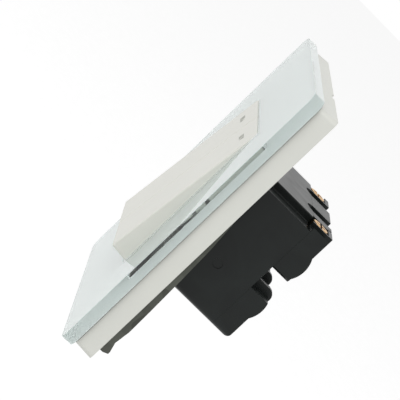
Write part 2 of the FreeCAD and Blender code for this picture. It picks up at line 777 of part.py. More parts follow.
# Terminal blocks, with the screw pockets in their ends
pocket_back = screw_level + s.pocket_half
blocks = {
    "upper": (1, s.channel_top, s.hump_middle_upper),
    "lower": (-1, s.channel_foot, s.hump_middle_lower),
}
for label, (end, channel_edge, hump_middle) in blocks.items():
    made = body(f"terminal_block_{label}")
    low, high = span(end, channel_edge, box_z)
    pad(made, "Y", s.box_depth, s.block_depth, rect(-box_x, box_x, low, high))
    if end > 0:
        ease(made, "Chamfer", s.block_chamfer,
             lambda point: abs(abs(point.x) - box_x.value) + abs(point.z - low.value) < 1e-4)
    else:
        ease(made, "Fillet", s.block_round,
             lambda point: abs(point.y - block_back.value) + abs(point.z - low.value) < 1e-4)
    for start in (-box_x, box_x - s.hump_length):
        pad(made, "X", start, s.hump_length,
            hump(block_back, hump_middle * end, s.hump_rise, s.hump_radius))
    if end < 0:
        pocket(made, "Y", block_back, s.hump_rise + 1,
               rect(-box_x - 1, box_x + 1, high, high + s.hump_radius))
        ridge_top = high + s.ridge_rise
        ridge_turn = block_back + s.ridge_back - s.ridge_round
        for inset in (s.ridge_inset, s.ridge_inset + s.ridge_step):
            for sign in BOTH:
                start = span(sign, box_x - inset - s.ridge_thick, box_x - inset)[0]
                pad(made, "X", start, s.ridge_thick,
                    rect(s.box_depth, ridge_turn, high - 1, ridge_top))
                pad(made, "X", start, s.ridge_thick,
                    disc(ridge_turn, ridge_top - s.ridge_round, s.ridge_round))
    pad(made, "Y", block_back, s.pad_rise,
        rect(s.slot_left + slot_half, s.slot_right - slot_half, low, high),
        rect(s.slot_right + slot_half, box_x - s.hump_length, low, high),
        rect(s.hump_length - box_x, s.slot_left - slot_half, low, high))
    ours = [(x, out) for x, which, out in terminals if which == end]
    rim = s.pocket_half + s.rim_side
    for x, out in ours:
        pad(made, "Y", block_back - 1, s.pad_rise + 1,
            rect(x - rim, x + rim, *span(end, box_z - s.pocket_floor, box_z)))
    pocket(made, "Y", s.box_depth, s.block_depth - s.block_wall,
           *[rect(x - s.pillar_width / 2 - s.fit_gap / 2, x + s.pillar_width / 2 + s.fit_gap / 2,
                  *span(end, pillar_low - s.fit_gap / 2, pillar_high + s.fit_gap / 2))
             for x, out in ours])
    pocket(made, "Y", s.box_depth, pocket_back - s.box_depth,
           *[rect(x - s.pocket_half, x + s.pocket_half, *span(end, box_z - s.pocket_floor, box_z + 1))
             for x, out in ours])
    pocket(made, "Y", block_back - s.block_wall - s.fit_gap, s.block_depth,
           *[disc(x, terminal_high * end, s.wire_entry_radius) for x, out in ours])
    pocket(made, "Y", s.box_depth, s.block_screw_length - s.box_floor + s.fit_gap,
           *[disc(x, z, s.small_screw_radius + s.thread_clear)
             for x, z in block_screws if z.value * end > 0])
    if end > 0:
        pocket(made, "Z", box_z, s.slot_deep,
               *[rect(x - slot_half, x + slot_half, s.box_depth - 1, block_back + s.pad_rise + 1)
                 for x in (s.slot_left, s.slot_right)], back=True)
        pocket(made, "Z", box_z, s.end_step + s.end_trench,
               rect(-box_x - 1, -s.terminal_left - s.pocket_half, s.box_depth - 1, block_back),
               back=True)
        pocket(made, "Z", box_z, s.end_step,
               rect(s.terminal_right + s.pocket_half + s.pocket_wall, box_x - s.side_wall,
                    s.box_depth - 1, pocket_back), back=True)

# Guide plate for the plungers
guide = body("guide_plate")
guide_x = cavity_x - s.fit_gap
guide_z = cavity_z - s.fit_gap
boss_in = s.boss_radius + s.fit_gap
pad(guide, "Y", s.guide_front, s.guide_thick, rect(-guide_x, guide_x, -guide_z, guide_z))
pocket(guide, "Y", s.guide_front, s.guide_thick,
       *mirrored_rects(s.cover_screw_side - boss_in, guide_x + 1,
                       cover_screw_high - boss_in, guide_z + 1),
       *[disc(gang_x * sign, -nose_lever, s.plunger_radius + s.guide_clear) for sign in BOTH])

# Contact bars on the housing floor, each with tabs through the floor to its terminals
contact_z = -nose_lever
reach = pillar_front - floor_front
inner_x = gang_x - s.contact_half
outer_x = gang_x + s.contact_half
for sign, gang, end_x in ((-1, "up", s.terminal_left), (1, "down", s.terminal_right)):
    bar = body(f"output_bar_{gang}")
    far_x = end_x if gang == "down" else outer_x
    near_x = outer_x if gang == "down" else end_x
    foot = span(sign, outer_x - s.bar_half, outer_x + s.bar_half)
    head = span(sign, near_x - s.bar_half, far_x + s.bar_half)
    pad(bar, "Y", bar_front, s.bar_thick,
        rect(*foot, contact_z - s.bar_half, bar_turn + s.bar_half))
    pad(bar, "Y", bar_front, s.bar_thick,
        rect(*head, bar_turn - s.bar_half, bar_turn + s.bar_half))
    pad(bar, "Y", floor_front, reach,
        rect(*span(sign, end_x - s.bar_half, end_x + s.bar_half),
             bar_turn - s.tab_half, bar_turn + s.tab_half))
line = body("line_bar")
rail_x = s.terminal_low + s.bar_half
pad(line, "Y", bar_front, s.bar_thick,
    rect(-inner_x - s.bar_half, inner_x + s.bar_half, contact_z - s.bar_half, contact_z + s.bar_half))
pad(line, "Y", bar_front, s.bar_thick,
    rect(-s.line_stem, s.line_stem, -line_low, contact_z))
pad(line, "Y", bar_front, s.bar_thick,
    rect(-rail_x, rail_x, -line_low - s.bar_half, -line_low + s.bar_half))
pad(line, "Y", floor_front, reach,
    *[rect(*span(sign, s.terminal_low - s.bar_half, rail_x),
           -line_low - s.tab_half, -line_low + s.tab_half) for sign in BOTH])

# Fixed contact tips
tips = [
    rod((x * sign, fixed_tip_front, contact_z), "Y", s.tip_radius, s.tip_thick)
    for sign in BOTH for x in (inner_x, outer_x)
]
group("fixed_contacts", *tips)

# Plungers with their bridges, moving contact tips and return springs
for sign, gang in SIDES:
    x = gang_x * sign
    head_front = bridge_back + s.small_gap
    plunger = fuse(
        rod((x, -s.plunger_front, contact_z), "Y", s.plunger_radius, s.plunger_shoulder + s.plunger_front),
        rod((x, s.collar_front, contact_z), "Y", s.collar_radius, s.collar_thick),
        rod((x, s.plunger_shoulder, contact_z), "Y", s.plunger_neck, head_front - s.plunger_shoulder),
        rod((x, head_front, contact_z), "Y", s.head_radius, s.head_thick),
        label=f"plunger_{gang}",
    )
    piece(plunger, f"plunger_{gang}")
    reach_x = s.contact_half + s.bridge_half
    strip = block((x - reach_x, bridge_front, contact_z - s.bridge_half),
                  (x + reach_x, bridge_back, contact_z + s.bridge_half))
    eye = rod((x, bridge_front - 1, contact_z), "Y", s.plunger_neck + s.small_gap, s.bridge_thick + 2)
    piece(cut(strip, eye, label=f"contact_bridge_{gang}"), f"contact_bridge_{gang}")
    group(f"bridge_contacts_{gang}", *[
        rod((x + s.contact_half * side, bridge_back, contact_z), "Y", s.tip_radius, s.tip_thick)
        for side in BOTH
    ])
    spring_front = s.collar_front + s.collar_thick + s.spring_wire / 2
    spring_back = s.guide_front - s.spring_wire / 2
    spring = body(f"return_spring_{gang}")
    wire = spring.newObject("Sketcher::SketchObject", "Wire")
    plane = next(o for o in spring.Origin.OriginFeatures if o.Role == "XY_Plane")
    wire.AttachmentSupport = [(plane, "")]
    wire.MapMode = "FlatFace"
    disc(s.spring_radius, 0, s.spring_wire / 2)(wire)
    coil = spring.newObject("PartDesign::AdditiveHelix", "Coil")
    coil.Profile = wire
    coil.ReferenceAxis = (wire, ["V_Axis"])
    coil.Mode = "height-turns-angle"
    coil.setExpression("Height", (spring_back - spring_front).text)
    coil.setExpression("Turns", s.spring_turns.text)
    wire.Visibility = False
    put(spring, (x, spring_front, contact_z))

# Terminal pillars, one under each clamping screw
pillars = []
screws = []
for x, end, out in terminals:
    low, high = span(end, pillar_low, pillar_high)
    solid = block((x - s.pillar_width / 2, pillar_front, low),
                  (x + s.pillar_width / 2, pillar_back, high))
    wire_hole = rod((x, pillar_front - 1, terminal_high * end), "Y", s.wire_radius, s.pillar_depth + 2)
    turn = "Z" if end > 0 else "-Z"
    thread = rod((x, screw_level, terminal_high * end), turn, s.shank_radius + s.thread_clear,
                 pillar_high - terminal_high + 1)
    pillars.append(cut(solid, wire_hole, thread))
    head_low = box_z - s.screw_head_thick
    tip_low = terminal_high + s.wire_radius
    head = rod((x, screw_level, head_low * end), turn, s.screw_head_radius, s.screw_head_thick)
    shank = rod((x, screw_level, tip_low * end), turn, s.shank_radius, head_low - tip_low)
    groove_z = span(end, box_z - s.driver_deep, box_z + 1)
    groove = block((x - s.screw_head_radius - 1, screw_level - s.driver_slot / 2, groove_z[0]),
                   (x + s.screw_head_radius + 1, screw_level + s.driver_slot / 2, groove_z[1]))
    screws.append(cut(fuse(head, shank), groove))
group("terminal_pillars", *pillars)
group("terminal_screws", *screws)

# Small screws: four hold the cover, four hold the terminal blocks from inside
for label, places, seat, length in (
    ("cover_screws", cover_screws, cover_front, s.cover_screw_length),
    ("block_screws", block_screws, floor_front, s.block_screw_length),
):
    made = []
    for x, z in places:
        head = rod((x, seat - s.small_head_thick, z), "Y", s.small_head_radius, s.small_head_thick)
        shank = rod((x, seat, z), "Y", s.small_screw_radius, length)
        top = seat - s.small_head_thick
        groove = block((x - s.small_head_radius - 1, top - 1, z - s.driver_slot / 2),
                       (x + s.small_head_radius + 1, top + s.driver_deep, z + s.driver_slot / 2))
        made.append(cut(fuse(head, shank), groove))
    group(label, *made)

doc.recompute()

# Every object is checked before the files are written
for made in doc.Objects:
    faults = [state for state in made.State if state in ("Invalid", "Error")]
    if faults:
        raise RuntimeError(f"{made.Name} ({made.Label}) is {faults}")
os.makedirs("parts", exist_ok=True)
for made in pieces:
    shape = made.Shape
    if shape.isNull() or not shape.isValid() or not shape.Solids:
        raise RuntimeError(f"{made.Label} has no valid solid")
    shape.exportStep(f"parts/{made.Label}.step")
    size = shape.BoundBox
    print(f"{made.Label:24} solids {len(shape.Solids)} volume {shape.Volume:9.2f}"
          f" X {size.XMin:7.2f} {size.XMax:7.2f} Y {size.YMin:7.2f} {size.YMax:7.2f}"
          f" Z {size.ZMin:7.2f} {size.ZMax:7.2f}")
doc.saveAs("part.FCStd")
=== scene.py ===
import math

import bmesh
import bpy
from bpy.props import FloatProperty, FloatVectorProperty, PointerProperty
from mathutils import Matrix, Vector


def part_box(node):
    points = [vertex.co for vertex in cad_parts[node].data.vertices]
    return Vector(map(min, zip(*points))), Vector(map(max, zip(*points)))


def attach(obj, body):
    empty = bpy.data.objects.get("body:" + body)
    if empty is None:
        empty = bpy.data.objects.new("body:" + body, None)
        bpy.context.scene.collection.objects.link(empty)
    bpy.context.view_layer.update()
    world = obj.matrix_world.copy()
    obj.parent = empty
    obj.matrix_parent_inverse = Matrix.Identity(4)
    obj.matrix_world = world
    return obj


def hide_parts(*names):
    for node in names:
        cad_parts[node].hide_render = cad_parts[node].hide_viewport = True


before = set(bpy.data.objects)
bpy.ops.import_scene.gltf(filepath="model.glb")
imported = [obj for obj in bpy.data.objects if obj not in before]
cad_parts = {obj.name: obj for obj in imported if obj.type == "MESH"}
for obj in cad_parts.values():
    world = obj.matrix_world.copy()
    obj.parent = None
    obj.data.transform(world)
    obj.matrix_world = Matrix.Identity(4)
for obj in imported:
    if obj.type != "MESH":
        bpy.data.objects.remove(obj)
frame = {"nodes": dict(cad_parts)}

bl_info = {
    "name": "Roller Shutter Switch",
    "version": (1, 0, 0),
    "blender": (4, 5, 0),
    "location": "View3D > Sidebar > Shutter Switch",
    "description": "Builds the looks of a glass roller shutter switch round its packed CAD frame",
    "category": "Object",
}

# One millimetre, in metres
MM = 0.001
FRAME_BODY = "switch_body"
# Each key's side of the middle and its name
GANGS = ((-1, "up"), (1, "down"))
# Places across the switch: the open slots in its upper end, and each terminal with its end
SLOTS = (-8 * MM, 8.5 * MM)
TERMINALS = ((-14.4 * MM, 1), (18.5 * MM, 1), (-16.5 * MM, -1), (16.5 * MM, -1))
# Terminal screws behind the wall face, and wire entries above and below the middle
SCREW_LEVEL = 20 * MM
WIRE_LEVEL = 12 * MM
# Depth of the terminal blocks, and the outer edges of their flat pads from the middle
BLOCK_DEPTH = 5.4 * MM
PAD_END = 14.5 * MM


def linear(hex_colour):
    """Turns an sRGB hex colour to linear RGB."""
    channels = (int(hex_colour[start:start + 2], 16) / 255 for start in (1, 3, 5))
    return tuple(c / 12.92 if c <= 0.04045 else ((c + 0.055) / 1.055) ** 2.4 for c in channels)


def length(name, description, default):
    """A length setting."""
    return FloatProperty(name=name, description=description, default=default, min=0.0,
                         precision=5, subtype="DISTANCE", unit="LENGTH")


def angle(name, description, degrees):
    """An angle setting, given in degrees."""
    return FloatProperty(name=name, description=description, default=math.radians(degrees),
                         subtype="ANGLE", unit="ROTATION")


def colour(name, description, default):
    """A colour setting, given in hex as it is seen."""
    return FloatVectorProperty(name=name, description=description, default=linear(default),
                               size=3, min=0.0, max=1.0, subtype="COLOR")


# Sizes and colours

class PanelSizes(bpy.types.PropertyGroup):
    """Glass panel and its paint."""

    side: length("Side", "Side of the square glass", 86 * MM)
    corner: length("Corner", "Corner radius of the glass", 3 * MM)
    thickness: length("Thickness", "Thickness of the glass", 3.2 * MM)
    arris: length("Arris", "Polished chamfer round the glass edges", 0.14 * MM)
    opening_width: length("Opening width", "Opening for the two keys", 44.8 * MM)
    opening_height: length("Opening height", "Opening for the two keys", 47.6 * MM)
    opening_corner: length("Opening corner", "Corner radius of the opening", 0.8 * MM)
    paint_inset: length("Paint inset", "Paint's edges inside the glass edges", 0.15 * MM)
    paint_lap: length("Paint lap", "Reach of the glass into the paint, and of that into the foam",
                      0.03 * MM)


class FrameSizes(bpy.types.PropertyGroup):
    """Moulded frame behind the glass."""

    corner: length("Corner", "Corner radius of the frame", 1.4 * MM)
    inner_corner: length("Inner corner", "Corner radius inside the frame", 0.8 * MM)
    wall: length("Wall", "Side wall of the frame", 2 * MM)
    web: length("Web", "Front web of the frame", 1.6 * MM)
    draft: angle("Draft", "Draft of the frame's sides", 3.5)
    clearance: length("Clearance", "Web's opening outside the glass opening", 0.7 * MM)
    notch_start: length("Notch start", "Screwdriver notch, from the middle", 7.5 * MM)
    notch_width: length("Notch width", "Width of the screwdriver notch", 5 * MM)
    notch_depth: length("Notch depth", "Depth of the notch from the wall face", 0.6 * MM)
    hook_start: length("Hook start", "Inner ends of the hooks, from the middle", 21.5 * MM)
    hook_width: length("Hook width", "Width of a hook", 5 * MM)
    rib_start: length("Rib start", "Ribs on the web, from the middle", 27 * MM)
    rib_length: length("Rib length", "Length of the ribs", 60 * MM)
    rib: length("Rib", "Thickness and height of the ribs", 1.2 * MM)
    softening: length("Softening", "Small rounding of the frame's edges", 0.18 * MM)


class KeySizes(bpy.types.PropertyGroup):
    """The two rocking keys and their signs."""

    width: length("Width", "Width of one key", 21.85 * MM)
    height: length("Height", "Height of a key", 46.3 * MM)
    depth: length("Depth", "Depth of the key's skirt", 5.5 * MM)
    gap: length("Gap", "Each key's distance from the middle", 0.15 * MM)
    corner: length("Corner", "Corner radius of a key", 0.6 * MM)
    inner_corner: length("Inner corner", "Corner radius inside the skirt", 0.5 * MM)
    wall: length("Wall", "Wall of the skirt", 1.2 * MM)
    roof: length("Roof", "Wall under the key face", 1.4 * MM)
    edge: length("Edge", "Rounding of the key face's edges", 0.35 * MM)
    rise: length("Rise", "Key face in front of the hinge axis", 3.7 * MM)
    hinge: length("Hinge", "Hinge axis in front of the wall face", 7.6 * MM)
    tilt: angle("Tilt", "Rest tilt of the keys", 6.19)
    notch_width: length("Notch width", "Width of the notches in the skirt", 1.3 * MM)
    notch_depth: length("Notch depth", "Depth of the notches in the skirt", 1.2 * MM)
    clip_start: length("Clip start", "Inner ends of the rocker clips, from the middle", 14 * MM)
    clip_width: length("Clip width", "Width of a rocker clip", 3.6 * MM)
    softening: length("Softening", "Small rounding of the inner edges", 0.12 * MM)
    sign_height: length("Sign height", "Height of the printed signs", 1.5 * MM)
    sign_width: length("Sign width", "Width of a printed sign", 5 * MM)
    slat_width: length("Slat width", "Width of the sign's shutter", 3.2 * MM)
    arrow_width: length("Arrow width", "Width of the sign's arrow", 1.4 * MM)
    sign_level: length("Sign level", "Signs above the hinge axis", 18.1 * MM)
    sign_up: length("Left sign", "Sign for up, from the middle", 11.4 * MM)
    sign_down: length("Right sign", "Sign for down, from the middle", 11.8 * MM)
    ink: length("Ink", "Print above and below the key face", 0.02 * MM)


class PlateSizes(bpy.types.PropertyGroup):
    """Pressed support plate."""

    corner: length("Corner", "Corner radius of the plate", 1 * MM)
    opening_width: length("Opening width", "Opening for the bearing cover", 50 * MM)
    opening_height: length("Opening height", "Opening for the bearing cover", 29.2 * MM)
    opening_corner: length("Opening corner", "Corner radius of that opening", 0.4 * MM)
    slot_width: length("Slot width", "Width of the fixing slots", 4.2 * MM)
    slot_length: length("Slot length", "Length of the fixing slots", 7 * MM)
    slot_start: length("Slot start", "Fixing slots' inner ends, from the middle", 26.65 * MM)
    window_width: length("Window width", "Windows for the frame's hooks", 6 * MM)
    window_height: length("Window height", "Windows for the frame's hooks", 2.6 * MM)
    window_start: length("Window start", "Windows across the plate, from the middle", 21 * MM)
    window_level: length("Window level", "Windows up the plate, from the middle", 35.2 * MM)
    softening: length("Softening", "Small rounding of the sheet's edges", 0.15 * MM)


class HousingSizes(bpy.types.PropertyGroup):
    """Contact housing."""

    corner: length("Corner", "Rounded lower long edges", 2 * MM)
    step: length("Step", "Depth of the steps at the upper end", 1.3 * MM)
    trench: length("Trench", "Right step's trench; the left step is all as deep", 0.8 * MM)
    side_wall: length("Side wall", "Outer wall beside trench and recess, beveled inside", 0.8 * MM)
    end_flat: length("End flat", "Width of the upper end's raised face", 34.6 * MM)
    end_corner: length("End corner", "Rounding along that raised face", 0.3 * MM)
    cavity_width: length("Cavity width", "Width of the contact chamber", 52.4 * MM)
    cavity_height: length("Cavity height", "Height of the contact chamber", 29.4 * MM)
    cavity_depth: length("Cavity depth", "Depth of the contact chamber", 15.6 * MM)
    cavity_corner: length("Cavity corner", "Corner radius of the contact chamber", 0.6 * MM)
    slot: length("Slot", "Width of the open slots in the upper end", 5.8 * MM)
    slot_reach: length("Slot reach", "Reach of those slots down from the upper end", 2.2 * MM)
    slot_depth: length("Slot depth", "Depth of the slots' round ends in the housing", 1.8 * MM)
    mark: length("Mark", "Radius of the round mark on each side", 1.3 * MM)
    mark_depth: length("Mark depth", "Depth of the round marks", 0.25 * MM)
    boss: length("Boss", "Radius of the bosses for the cover screws", 2.2 * MM)
    boss_front: length("Boss front", "Front ends of those bosses", 1.2 * MM)
    rib_front: length("Rib front", "Front ends of the ribs behind the guide plate", 8.4 * MM)
    rib_length: length("Rib length", "Length of those ribs", 12 * MM)
    rib_thickness: length("Rib thickness", "How far they stand in from the side walls", 1.6 * MM)
    softening: length("Softening", "Small rounding of the moulded edges", 0.14 * MM)


class BlockSizes(bpy.types.PropertyGroup):
    """Terminal blocks on the housing's back."""

    channel_top: length("Channel top", "Upper edge of the channel, above the middle", 3.4 * MM)
    channel_foot: length("Channel foot", "Lower edge of the channel, below the middle", 3.9 * MM)
    chamfer: length("Chamfer", "Upper block's lower edges at its sides", 0.65 * MM)
    rounding: length("Rounding", "Rounded lower edge of the lower block's back", 1.7 * MM)
    pad: length("Pads", "Height of the flat pads on the blocks' backs", 1.4 * MM)
    hump: length("Hump", "Radius of the humps beside the pads", 7.5 * MM)
    hump_rise: length("Hump rise", "Height of the humps on the blocks' backs", 1 * MM)
    hump_upper: length("Upper humps", "Their middle above the housing's middle", 8.3 * MM)
    hump_lower: length("Lower humps", "Their middle below the housing's middle", 6.3 * MM)
    ridge: length("Ridge", "Thickness of the ridges in the channel", 1.5 * MM)
    ridge_rise: length("Ridge rise", "Ridges above the lower block", 2.05 * MM)
    ridge_back: length("Ridge back", "Ridges behind the blocks' backs", 1.3 * MM)
    ridge_round: length("Ridge round", "Radius of the ridges' rear ends", 2.1 * MM)
    ridge_inset: length("Ridge inset", "Outer ridges inside the housing's sides", 5 * MM)
    ridge_step: length("Ridge step", "Distance from an outer ridge to an inner one", 13.8 * MM)
    pocket: length("Pocket", "Width of the pockets round the terminal screws", 5.4 * MM)
    pocket_depth: length("Pocket depth", "Depth of those pockets from the block's end", 3.4 * MM)
    rim: length("Rim", "Wall round a pocket where it passes the back", 0.4 * MM)
    seat_width: length("Seat width", "Width of a clamp block's seat", 6 * MM)
    seat_start: length("Seat start", "Inner end of the seats, from the middle", 9.5 * MM)
    seat_length: length("Seat length", "Length of the seats", 5.8 * MM)
    wire_entry: length("Wire entry", "Radius of the wire entries", 1.9 * MM)
    recess_wall: length("Recess wall", "Wall between right pocket and recess", 0.8 * MM)


class TerminalSizes(bpy.types.PropertyGroup):
    """Clamping screws and clamp blocks."""

    screw_foot: length("Screw foot", "Inner ends of the screws, from the middle", 13.6 * MM)
    screw_top: length("Screw top", "Outer ends of the screws, from the middle", 17.9 * MM)
    shank: length("Shank", "Radius of the threaded shank", 1.5 * MM)
    root: length("Root", "Radius at the root of the thread", 1.28 * MM)
    pitch: length("Pitch", "Pitch of the thread", 0.45 * MM)
    head: length("Head", "Radius of the screw heads", 2.5 * MM)
    head_height: length("Head height", "Height of the screw heads", 1.6 * MM)
    slot: length("Slot", "Width of the driver slots", 0.64 * MM)
    clamp_width: length("Clamp width", "Width of a clamp block", 5.8 * MM)
    clamp_depth: length("Clamp depth", "Depth of a clamp block", 4 * MM)
    clamp_start: length("Clamp start", "Inner ends of the clamp blocks, from the middle", 9.6 * MM)
    clamp_length: length("Clamp length", "Length of a clamp block", 5.6 * MM)
    clamp_corner: length("Clamp corner", "Corner radius of a clamp block", 0.3 * MM)
    wire_hole: length("Wire hole", "Radius of the clamp blocks' wire holes", 1.6 * MM)
    tapped_hole: length("Tapped hole", "Radius of the clamp blocks' screw holes", 1.55 * MM)
    softening: length("Softening", "Small rounding of the clamp blocks' edges", 0.12 * MM)


class Finishes(bpy.types.PropertyGroup):
    """Colours of the finishes, as they are seen."""

    glass: colour("Glass", "Tint of the clear glass", "#F7FCFB")
    enamel: colour("Enamel", "Paint behind the glass", "#EEF5F3")
    frame: colour("Frame", "Moulded frame", "#DADBD4")
    key: colour("Key", "Key faces", "#E0E0D8")
    housing: colour("Housing", "Contact housing", "#1A1E1D")
    steel: colour("Steel", "Galvanised support plate", "#565852")
    brass: colour("Brass", "Terminal screws and clamps", "#D6A24A")
    sign: colour("Signs", "Printed signs", "#8E9086")


class StageSettings(bpy.types.PropertyGroup):
    """Floor, light and camera."""

    paper: colour("Paper", "Floor", "#F2F2F2")
    floor_drop: length("Floor drop", "Floor below the middle of the switch", 200 * MM)
    floor_size: length("Floor size", "Distance from the floor's middle to its edges", 4.0)
    floor_lift: FloatProperty(name="Floor lift", description="Glow of the floor where it is seen",
                              default=0.34)
    daylight: FloatProperty(name="Daylight", description="Strength of the even light", default=0.68)
    lamp: FloatProperty(name="Lamp", description="Power of the large soft lamp", default=8.0,
                        subtype="POWER", unit="POWER")
    lamp_size: length("Lamp size", "Side of the soft lamp", 1.2)
    lamp_place: FloatVectorProperty(name="Lamp place", description="Middle of the soft lamp",
                                    default=(0.9, -0.65, 0.93), subtype="XYZ", unit="LENGTH")
    lens: FloatProperty(name="Lens", description="Focal length of the camera", default=168.8,
                        subtype="DISTANCE_CAMERA")
    camera_place: FloatVectorProperty(name="Camera place", description="Where the camera stands",
                                      default=(0.47462, -0.07538, 0.09401), precision=5,
                                      subtype="XYZ", unit="LENGTH")
    camera_look: FloatVectorProperty(name="Camera look", description="Direction in which it looks",
                                     default=(-0.9691, 0.1473, -0.1980), subtype="DIRECTION")
    camera_right: FloatVectorProperty(name="Camera right", description="Its picture's right side",
                                      default=(-0.0379, 0.7040, 0.7092), subtype="DIRECTION")


# Solids, made with bmesh operators

# How far a cutting tool reaches past a surface, and a joined solid into its carrier
PAST = 1 * MM
INTO = 0.1 * MM
# Places closer than this are the same, before and after solids are joined
SAME_PLACE = 0.0001 * MM
MERGE_DISTANCE = 0.002 * MM
# Faces within the first angle are one flat face; shading breaks at the second
FLAT_ANGLE = math.radians(0.5)
SMOOTH_ANGLE = math.radians(40)
# Turns a point across, up and along into X, Y and Z, for a solid along each axis
PLACE = {
    "X": lambda across, up, along: Vector((along, across, up)),
    "Y": lambda across, up, along: Vector((across, along, up)),
    "Z": lambda across, up, along: Vector((across, up, along)),
}
# Turns a rod along Z to each axis
TURN = {
    "X": Matrix.Rotation(math.pi / 2, 4, "Y"),
    "Y": Matrix.Rotation(-math.pi / 2, 4, "X"),
    "Z": Matrix.Identity(4),
}


def prism(axis, corners, start, end, segments=5):
    """A solid along an axis. Each corner is (across, up) or (across, up, radius)."""
    solid = bmesh.new()
    verts = [solid.verts.new(PLACE[axis](corner[0], corner[1], start)) for corner in corners]
    solid.faces.new(verts)
    for vert, corner in zip(verts, corners):
        if len(corner) > 2:
            bmesh.ops.bevel(solid, geom=[vert], offset=corner[2], offset_type="OFFSET",
                            segments=segments, profile=0.5, affect="VERTICES", material=-1)
    grown = bmesh.ops.extrude_face_region(solid, geom=solid.faces[:])["geom"]
    moved = [item for item in grown if isinstance(item, bmesh.types.BMVert)]
    bmesh.ops.translate(solid, vec=PLACE[axis](0, 0, end - start), verts=moved)
    bmesh.ops.recalc_face_normals(solid, faces=solid.faces)
    return solid


def rect(left, right, low, high, radius=None):
    """The corners of a rectangle, rounded where a radius is given."""
    corners = [(left, low), (right, low), (right, high), (left, high)]
    return [(*corner, radius) for corner in corners] if radius else corners


def centred(half_across, half_up, radius=None):
    """A rectangle round the middle of the switch."""
    return rect(-half_across, half_across, -half_up, half_up, radius)


def span(sign, near, far):
    """Two coordinates in rising order, from distances to one side of the middle."""
    return (near, far) if sign > 0 else (-far, -near)


def rod(axis, centre, radius, start, end, segments=40):
    """A round solid along an axis."""
    solid = bmesh.new()
    middle = PLACE[axis](*centre, (start + end) / 2)
    bmesh.ops.create_cone(solid, cap_ends=True, segments=segments, radius1=radius, radius2=radius,
                          depth=end - start, matrix=Matrix.Translation(middle) @ TURN[axis])
    return solid


def as_object(name, solid):
    """Uses a solid up as the mesh of a new object."""
    mesh = bpy.data.meshes.new(name)
    solid.to_mesh(mesh)
    solid.free()
    made = bpy.data.objects.new(name, mesh)
    bpy.context.scene.collection.objects.link(made)
    return made


def gather(whole, part):
    """Adds a solid to another without joining their surfaces, and uses it up."""
    mesh = bpy.data.meshes.new("part")
    part.to_mesh(mesh)
    part.free()
    whole.from_mesh(mesh)
    bpy.data.meshes.remove(mesh)


def combine(base, tools, operation):
    """Cuts the tools from a solid or joins them to it. All the given solids are used up."""
    gathered = bmesh.new()
    for tool in tools:
        gather(gathered, tool)
    pair = [as_object("base", base), as_object("tools", gathered)]
    modifier = pair[0].modifiers.new("combine", "BOOLEAN")
    modifier.object = pair[1]
    modifier.operation = operation
    modifier.solver = "EXACT"
    modifier.use_self = True
    graph = bpy.context.evaluated_depsgraph_get()
    shaped = bpy.data.meshes.new_from_object(pair[0].evaluated_get(graph))
    result = bmesh.new()
    result.from_mesh(shaped)
    for item in pair:
        mesh = item.data
        bpy.data.objects.remove(item)
        bpy.data.meshes.remove(mesh)
    bpy.data.meshes.remove(shaped)
    return result


def cut(base, *tools):
    """Cuts the tools from a solid."""
    return combine(base, tools, "DIFFERENCE")


def join(base, *tools):
    """Joins the tools to a solid."""
    return combine(base, tools, "UNION")


def soften(solid, width, sharper_than=math.radians(32)):
    """Merges flat faces, then rounds every edge that is sharper than the angle."""
    bmesh.ops.remove_doubles(solid, verts=solid.verts, dist=MERGE_DISTANCE)
    bmesh.ops.dissolve_limit(solid, angle_limit=FLAT_ANGLE, verts=solid.verts, edges=solid.edges)
    sharp = [edge for edge in solid.edges
             if len(edge.link_faces) == 2 and edge.calc_face_angle(0.0) > sharper_than]
    bmesh.ops.bevel(solid, geom=sharp, offset=width, offset_type="OFFSET", segments=2,
                    profile=0.5, affect="EDGES", material=-1, clamp_overlap=True)
    return solid


def finish_piece(name, solid, body, material, replaces=()):
    """Turns a solid into a shown piece that rides on a body."""
    bmesh.ops.recalc_face_normals(solid, faces=solid.faces)
    made = as_object(name, solid)
    for face in made.data.polygons:
        face.use_smooth = True
    made.data.set_sharp_from_angle(angle=SMOOTH_ANGLE)
    # Flat faces keep their own normals; only the small roundings turn
    normals = made.modifiers.new("normals", "WEIGHTED_NORMAL")
    normals.keep_sharp = True
    made.data.materials.append(material)
    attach(made, body)
    if replaces:
        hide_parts(*replaces)
    return made


# Materials

# Height of the grain that moulds, rollers and tools leave
GRAIN_HEIGHT = 0.02 * MM


def add(tree, kind, inputs=None, stops=(), **settings):
    """Adds a node. An input is a value or another node's output; stops are a ramp's colours."""
    made = tree.nodes.new(kind)
    for name, value in settings.items():
        setattr(made, name, value)
    for socket, value in (inputs or {}).items():
        if isinstance(value, bpy.types.NodeSocket):
            tree.links.new(value, made.inputs[socket])
        else:
            made.inputs[socket].default_value = value
    if stops:
        for element, (place, tone) in zip(made.color_ramp.elements, stops):
            element.position = place
            element.color = (*tone, 1)
    return made


def blank(name):
    """A new material, its empty node tree and its Object coordinates."""
    made = bpy.data.materials.new(name)
    made.use_nodes = True
    tree = made.node_tree
    tree.nodes.clear()
    return made, tree, add(tree, "ShaderNodeTexCoord").outputs["Object"]


def per_metre(millimetres):
    """The texture scale at which one feature has this size."""
    return 1 / (millimetres * MM)


def shade(value, factor):
    """A colour made darker or lighter."""
    return tuple(min(1.0, channel * factor) for channel in value)


